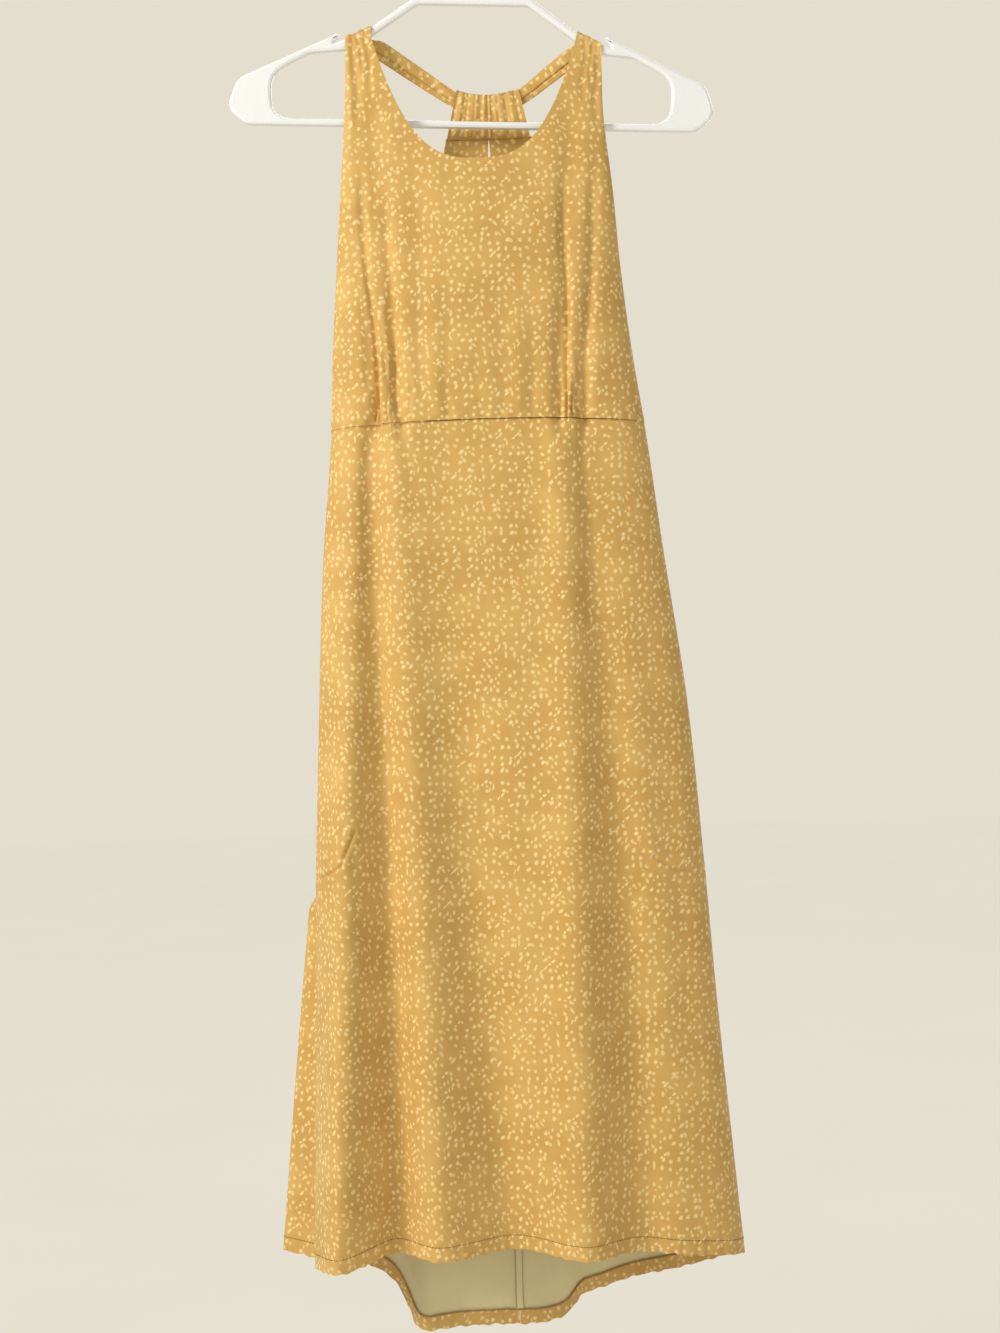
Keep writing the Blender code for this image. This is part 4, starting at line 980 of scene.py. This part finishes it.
def stitching(form, whole, halves):
    """The hems' stitch lines outside, and the overlock on the hems' raw edges inside."""
    tree = stitch_tree()
    thread, overlock = spun_thread("thread_hem", THREAD), spun_thread("thread_overlock", OVERLOCK)

    def line(lines, height, out, count, wave=0.0):
        share = np.linspace(0.0, 1.0, count)
        z = height(lines[0](HEM_FRONT) + (lines[1](HEM_FRONT) - lines[0](HEM_FRONT)) * share)
        turn = np.array([lines[0](v) + (lines[1](v) - lines[0](v)) * k for v, k in zip(z, share)])
        z = z + wave * (np.arange(count) % 2 - 0.5)
        points, normals, _ = form.place(turn, z)
        return points + out * normals

    rows = [(whole, front_hem_height, 380)]
    rows += [(lines, back_hem_height, 300) for lines in halves.values()]
    seen = [line(lines, lambda t, h=hem: h(t) + HEM_DEPTH - STITCH_IN, STITCH_OUT, count)
            for lines, hem, count in rows]
    laid_along("hem_stitches", seen, tree, thread, HEM_STITCH)
    inside = [line(lines, lambda t, h=hem: h(t) + HEM_DEPTH, -2 * THIN - LAYER_GAP - STITCH_OUT,
                   count * 2, wave=HEM_OVERLOCK_WAVE) for lines, hem, count in rows]
    laid_along("hem_overlock", inside, tree, overlock, OVERLOCK_STITCH)
    heights = np.linspace(FLOUNCE_SEAM - 0.004, HEM_BACK + HEM_DEPTH + 0.002, 500)
    zigzag = ALLOWANCE_OVERLOCK_WAVE * (np.arange(len(heights)) % 2 - 0.5)
    paths = []
    for sign in (-1, 1):
        x = centre_back(heights) + sign * ALLOWANCE_WIDTH / 2 + zigzag
        turn = np.array([form.turn_at(a, z, back=True) for a, z in zip(x, heights)])
        points, normals, _ = form.place(turn, heights)
        paths.append(points - (2 * THIN + LAYER_GAP + STITCH_OUT) * normals)
    laid_along("allowance_overlock", paths, tree, overlock, OVERLOCK_STITCH)


# ================================================================ materials
class Value:
    """A number socket with arithmetic: each operation adds a Math node."""

    def __init__(self, nodes, socket):
        self.nodes = nodes
        self.socket = socket

    def math(self, operation, *others):
        return self.nodes.add("ShaderNodeMath", {"operation": operation}, self, *others)[0]

    def __add__(self, other):
        return self.math("ADD", other)

    def __radd__(self, other):
        return self.math("ADD", other)

    def __sub__(self, other):
        return self.math("SUBTRACT", other)

    def __rsub__(self, other):
        return (self * -1.0) + other

    def __mul__(self, other):
        return self.math("MULTIPLY", other)

    def __rmul__(self, other):
        return self.math("MULTIPLY", other)

    def __truediv__(self, other):
        return self.math("DIVIDE", other)

    def between(self, low, high):
        """0 below low, 1 above high, smooth between them."""
        node = self.nodes.add("ShaderNodeMapRange", {"interpolation_type": "SMOOTHSTEP"},
                              self, low, high, 0.0, 1.0)
        return node[0]


class Nodes:
    """The node tree of one material, with its Principled shader."""

    def __init__(self, name):
        self.material = bpy.data.materials.new(name)
        self.material.use_nodes = True
        self.tree = self.material.node_tree
        self.shader = self.tree.nodes["Principled BSDF"]

    def add(self, kind, settings, *values, **named):
        node = self.tree.nodes.new(kind)
        for key, value in settings.items():
            setattr(node, key, value)
        for slot, value in list(enumerate(values)) + list(named.items()):
            if isinstance(slot, str):
                slot = slot.replace("_", " ")
            if value is not None:
                self.put(node.inputs[slot], value)
        return [Value(self, out) for out in node.outputs if out.enabled]

    def put(self, socket, value):
        if isinstance(value, Value):
            self.tree.links.new(value.socket, socket)
        else:
            socket.default_value = value

    def vector(self, operation, *values):
        return self.add("ShaderNodeVectorMath", {"operation": operation}, *values)[0]

    def mix(self, factor, first, second):
        node = self.tree.nodes.new("ShaderNodeMix")
        node.data_type = "RGBA"
        for socket, value in ((node.inputs[0], factor), (node.inputs[6], first),
                              (node.inputs[7], second)):
            if not isinstance(value, Value) and socket is not node.inputs[0]:
                value = (*value, 1.0)
            self.put(socket, value)
        return Value(self, node.outputs[2])

    def bump(self, height, distance, strength=1.0, under=None):
        node = self.tree.nodes.new("ShaderNodeBump")
        self.put(node.inputs["Height"], height)
        node.inputs["Distance"].default_value = distance
        node.inputs["Strength"].default_value = strength
        if under is not None:
            self.put(node.inputs["Normal"], under)
        return Value(self, node.outputs[0])

    def finish(self, constants, **links):
        for key, value in constants.items():
            self.shader.inputs[key].default_value = value
        for key, value in links.items():
            self.put(self.shader.inputs[key.replace("_", " ")], value)
        return self.material


def knit_bump(nodes, place):
    """Fine wales and courses of jersey, and a soft unevenness."""
    parts = nodes.add("ShaderNodeSeparateXYZ", {}, place)
    wales = (parts[0] * (2 * math.pi / WALE)).math("SINE")
    courses = (parts[1] * (2 * math.pi / COURSE)).math("SINE")
    uneven = nodes.add("ShaderNodeTexNoise", {}, Vector=place, Scale=260.0, Detail=3.0)[0]
    return nodes.bump(wales * 0.35 + courses * 0.25 + uneven * 1.2, 0.00012, 0.55)


def printed_jersey():
    nodes = Nodes("jersey_printed")
    place = nodes.add("ShaderNodeUVMap", {"uv_map": "cloth"})[0]
    wobble = nodes.add("ShaderNodeTexNoise", {}, Vector=place, Scale=420.0, Detail=1.0)[1]
    drift = nodes.vector("SCALE", nodes.vector("SUBTRACT", wobble, (0.5, 0.5, 0.5)))
    drift.socket.node.inputs["Scale"].default_value = PRINT_WANDER
    grid = nodes.vector("SCALE", nodes.vector("ADD", place, drift))
    grid.socket.node.inputs["Scale"].default_value = 1 / PRINT_SPACING
    motif = None
    for row in PRINT_LAYERS:
        layer = dict(zip(PRINT_COLUMNS, row))
        moved = nodes.vector("ADD", grid, layer["shift"])
        cell = nodes.add("ShaderNodeTexVoronoi", {"voronoi_dimensions": "2D"}, Vector=moved,
                         Scale=1.0, Randomness=PRINT_RANDOMNESS)
        colour, centre = cell[1], cell[2]
        chance = nodes.add("ShaderNodeSeparateColor", {}, colour)
        away = nodes.vector("SUBTRACT", moved, centre)
        turned = nodes.add("ShaderNodeVectorRotate", {"rotation_type": "Z_AXIS"}, Vector=away,
                           Angle=chance[0] * OVAL_LEAN[1] + OVAL_LEAN[0])[0]
        parts = nodes.add("ShaderNodeSeparateXYZ", {}, turned)
        stretched = chance[1].between(0.86, 0.90)
        lengthen = chance[1] * 0.50 + stretched * 0.35 + 0.72
        wide = parts[0] / (lengthen * layer["long"])
        thin = parts[1] / (layer["short"] * (chance[2] * 0.36 + 0.72 - stretched * 0.20))
        distance = (wide * wide + thin * thin).math("SQRT")
        there = chance[2].math("LESS_THAN", layer["kept"])
        oval = (1.0 - distance.between(*OVAL_EDGE)) * there * (chance[0] * 0.35 + 0.65)
        motif = oval if motif is None else motif.math("MAXIMUM", oval)
    shade = nodes.add("ShaderNodeTexNoise", {}, Vector=place, Scale=22.0, Detail=3.0)[0]
    ground = nodes.mix(shade.between(0.35, 0.68), GROUND, GROUND_LIT)
    colour = nodes.mix(motif * 0.93, ground, MOTIF)
    rough = 0.60 + shade * 0.10
    return nodes.finish({"Sheen Weight": 0.18, "Sheen Roughness": 0.45,
                         "Specular IOR Level": 0.35},
                        Base_Color=colour, Roughness=rough, Normal=knit_bump(nodes, place))


def wrong_side_jersey():
    nodes = Nodes("jersey_wrong_side")
    place = nodes.add("ShaderNodeUVMap", {"uv_map": "cloth"})[0]
    shade = nodes.add("ShaderNodeTexNoise", {}, Vector=place, Scale=60.0, Detail=4.0)[0]
    colour = nodes.mix(shade, WRONG_SIDE, tuple(1.12 * c for c in WRONG_SIDE))
    return nodes.finish({"Sheen Weight": 0.1}, Base_Color=colour, Roughness=0.7 + shade * 0.1,
                        Normal=knit_bump(nodes, place))


def spun_thread(name, colour):
    nodes = Nodes(name)
    place = nodes.add("ShaderNodeTexCoord", {})[3]
    twist = nodes.add("ShaderNodeTexNoise", {}, Vector=place, Scale=900.0, Detail=2.0)[0]
    return nodes.finish({}, Base_Color=nodes.mix(twist, colour, tuple(1.25 * c for c in colour)),
                        Roughness=0.55 + twist * 0.2)


def gloss_plastic():
    nodes = Nodes("hanger_white_plastic")
    place = nodes.add("ShaderNodeTexCoord", {})[3]
    mottle = nodes.add("ShaderNodeTexNoise", {}, Vector=place, Scale=90.0, Detail=4.0)[0]
    colour = nodes.mix(mottle, PLASTIC, tuple(0.95 * c for c in PLASTIC))
    return nodes.finish({"Coat Weight": 0.35, "Coat Roughness": 0.08, "IOR": 1.49},
                        Base_Color=colour, Roughness=0.20 + mottle * 0.12,
                        Normal=nodes.bump(mottle, 0.00005, 0.2))


def pale_floor():
    """A pale floor that glows a little, so that it meets the room's tone."""
    nodes = Nodes("floor_pale")
    place = nodes.add("ShaderNodeTexCoord", {})[3]
    grain = nodes.add("ShaderNodeTexNoise", {}, Vector=place, Scale=3.0, Detail=2.0)[0]
    glow = nodes.mix(grain, BACKGROUND, tuple(0.97 * c for c in BACKGROUND))
    return nodes.finish({"Emission Strength": 0.96, "Roughness": 0.9, "Specular IOR Level": 0.1,
                         "Base Color": (0.06, 0.055, 0.05, 1.0)}, Emission_Color=glow)


# ================================================================ studio
def camera():
    data = bpy.data.cameras.new("camera")
    data.lens = CAMERA_LENS
    data.sensor_width = 36.0
    thing = bpy.data.objects.new("camera", data)
    thing.matrix_world = (Matrix.Translation(CAMERA_AT) @ Matrix.Rotation(CAMERA_ROLL, 4, "Y")
                          @ Matrix.Rotation(math.radians(90), 4, "X"))
    bpy.context.scene.collection.objects.link(thing)
    bpy.context.scene.camera = thing


def lights():
    """Broad soft lamps, turned to the middle of the dress."""
    for row in LIGHTS:
        lamp = dict(zip(LIGHT_COLUMNS, row))
        data = bpy.data.lights.new(lamp["name"], "AREA")
        data.size = lamp["size"]
        data.energy = lamp["power"]
        data.color = lamp["colour"]
        thing = bpy.data.objects.new(lamp["name"], data)
        thing.location = lamp["place"]
        aim = Vector(LIT_POINT) - Vector(lamp["place"])
        thing.rotation_euler = aim.to_track_quat("-Z", "Y").to_euler()
        bpy.context.scene.collection.objects.link(thing)


def room():
    """A pale room: its own brightness behind the dress, and softer light on the cloth."""
    bpy.context.scene.view_settings.view_transform = "Standard"
    world = bpy.data.worlds.new("studio")
    bpy.context.scene.world = world
    world.use_nodes = True
    tree = world.node_tree
    room = tree.nodes["Background"]
    room.inputs["Color"].default_value = (0.90, 0.90, 0.88, 1.0)
    room.inputs["Strength"].default_value = ROOM_LIGHT
    seen = tree.nodes.new("ShaderNodeBackground")
    seen.inputs["Color"].default_value = (*BACKGROUND, 1.0)
    path = tree.nodes.new("ShaderNodeLightPath")
    mix = tree.nodes.new("ShaderNodeMixShader")
    tree.links.new(path.outputs["Is Camera Ray"], mix.inputs[0])
    tree.links.new(room.outputs[0], mix.inputs[1])
    tree.links.new(seen.outputs[0], mix.inputs[2])
    tree.links.new(mix.outputs[0], tree.nodes["World Output"].inputs[0])


def floor():
    mesh = bpy.data.meshes.new("studio_floor")
    corners = ((-1, -1), (1, -1), (1, 1), (-1, 1))
    mesh.from_pydata([(FLOOR_REACH * x, FLOOR_REACH * y, TUBE_BOTTOM - FLOOR_BELOW) for x, y in corners],
                     [], [(0, 1, 2, 3)])
    mesh.materials.append(pale_floor())
    thing = bpy.data.objects.new("studio_floor", mesh)
    bpy.context.scene.collection.objects.link(thing)


def hanger_finish():
    plastic = gloss_plastic()
    for name in ("hanger_frame", "hanger_hook"):
        thing = bpy.data.objects[name]
        for slot in thing.material_slots:
            slot.material = plastic


camera()
room()
floor()
lights()
form = Form()
printed = printed_jersey()
plain = wrong_side_jersey()
front_bodice(form, (printed, plain))
for side in ("left", "right"):
    back_bodice(form, side, (printed, plain))
back_casing(printed)
back_strap("strap_cloth_left", "back_strap_left", STRAP_LEFT, -1, printed)
back_strap("strap_cloth_right", "back_strap_right", STRAP_RIGHT, 1, printed)
skirt(form, printed, plain)
hanger_finish()
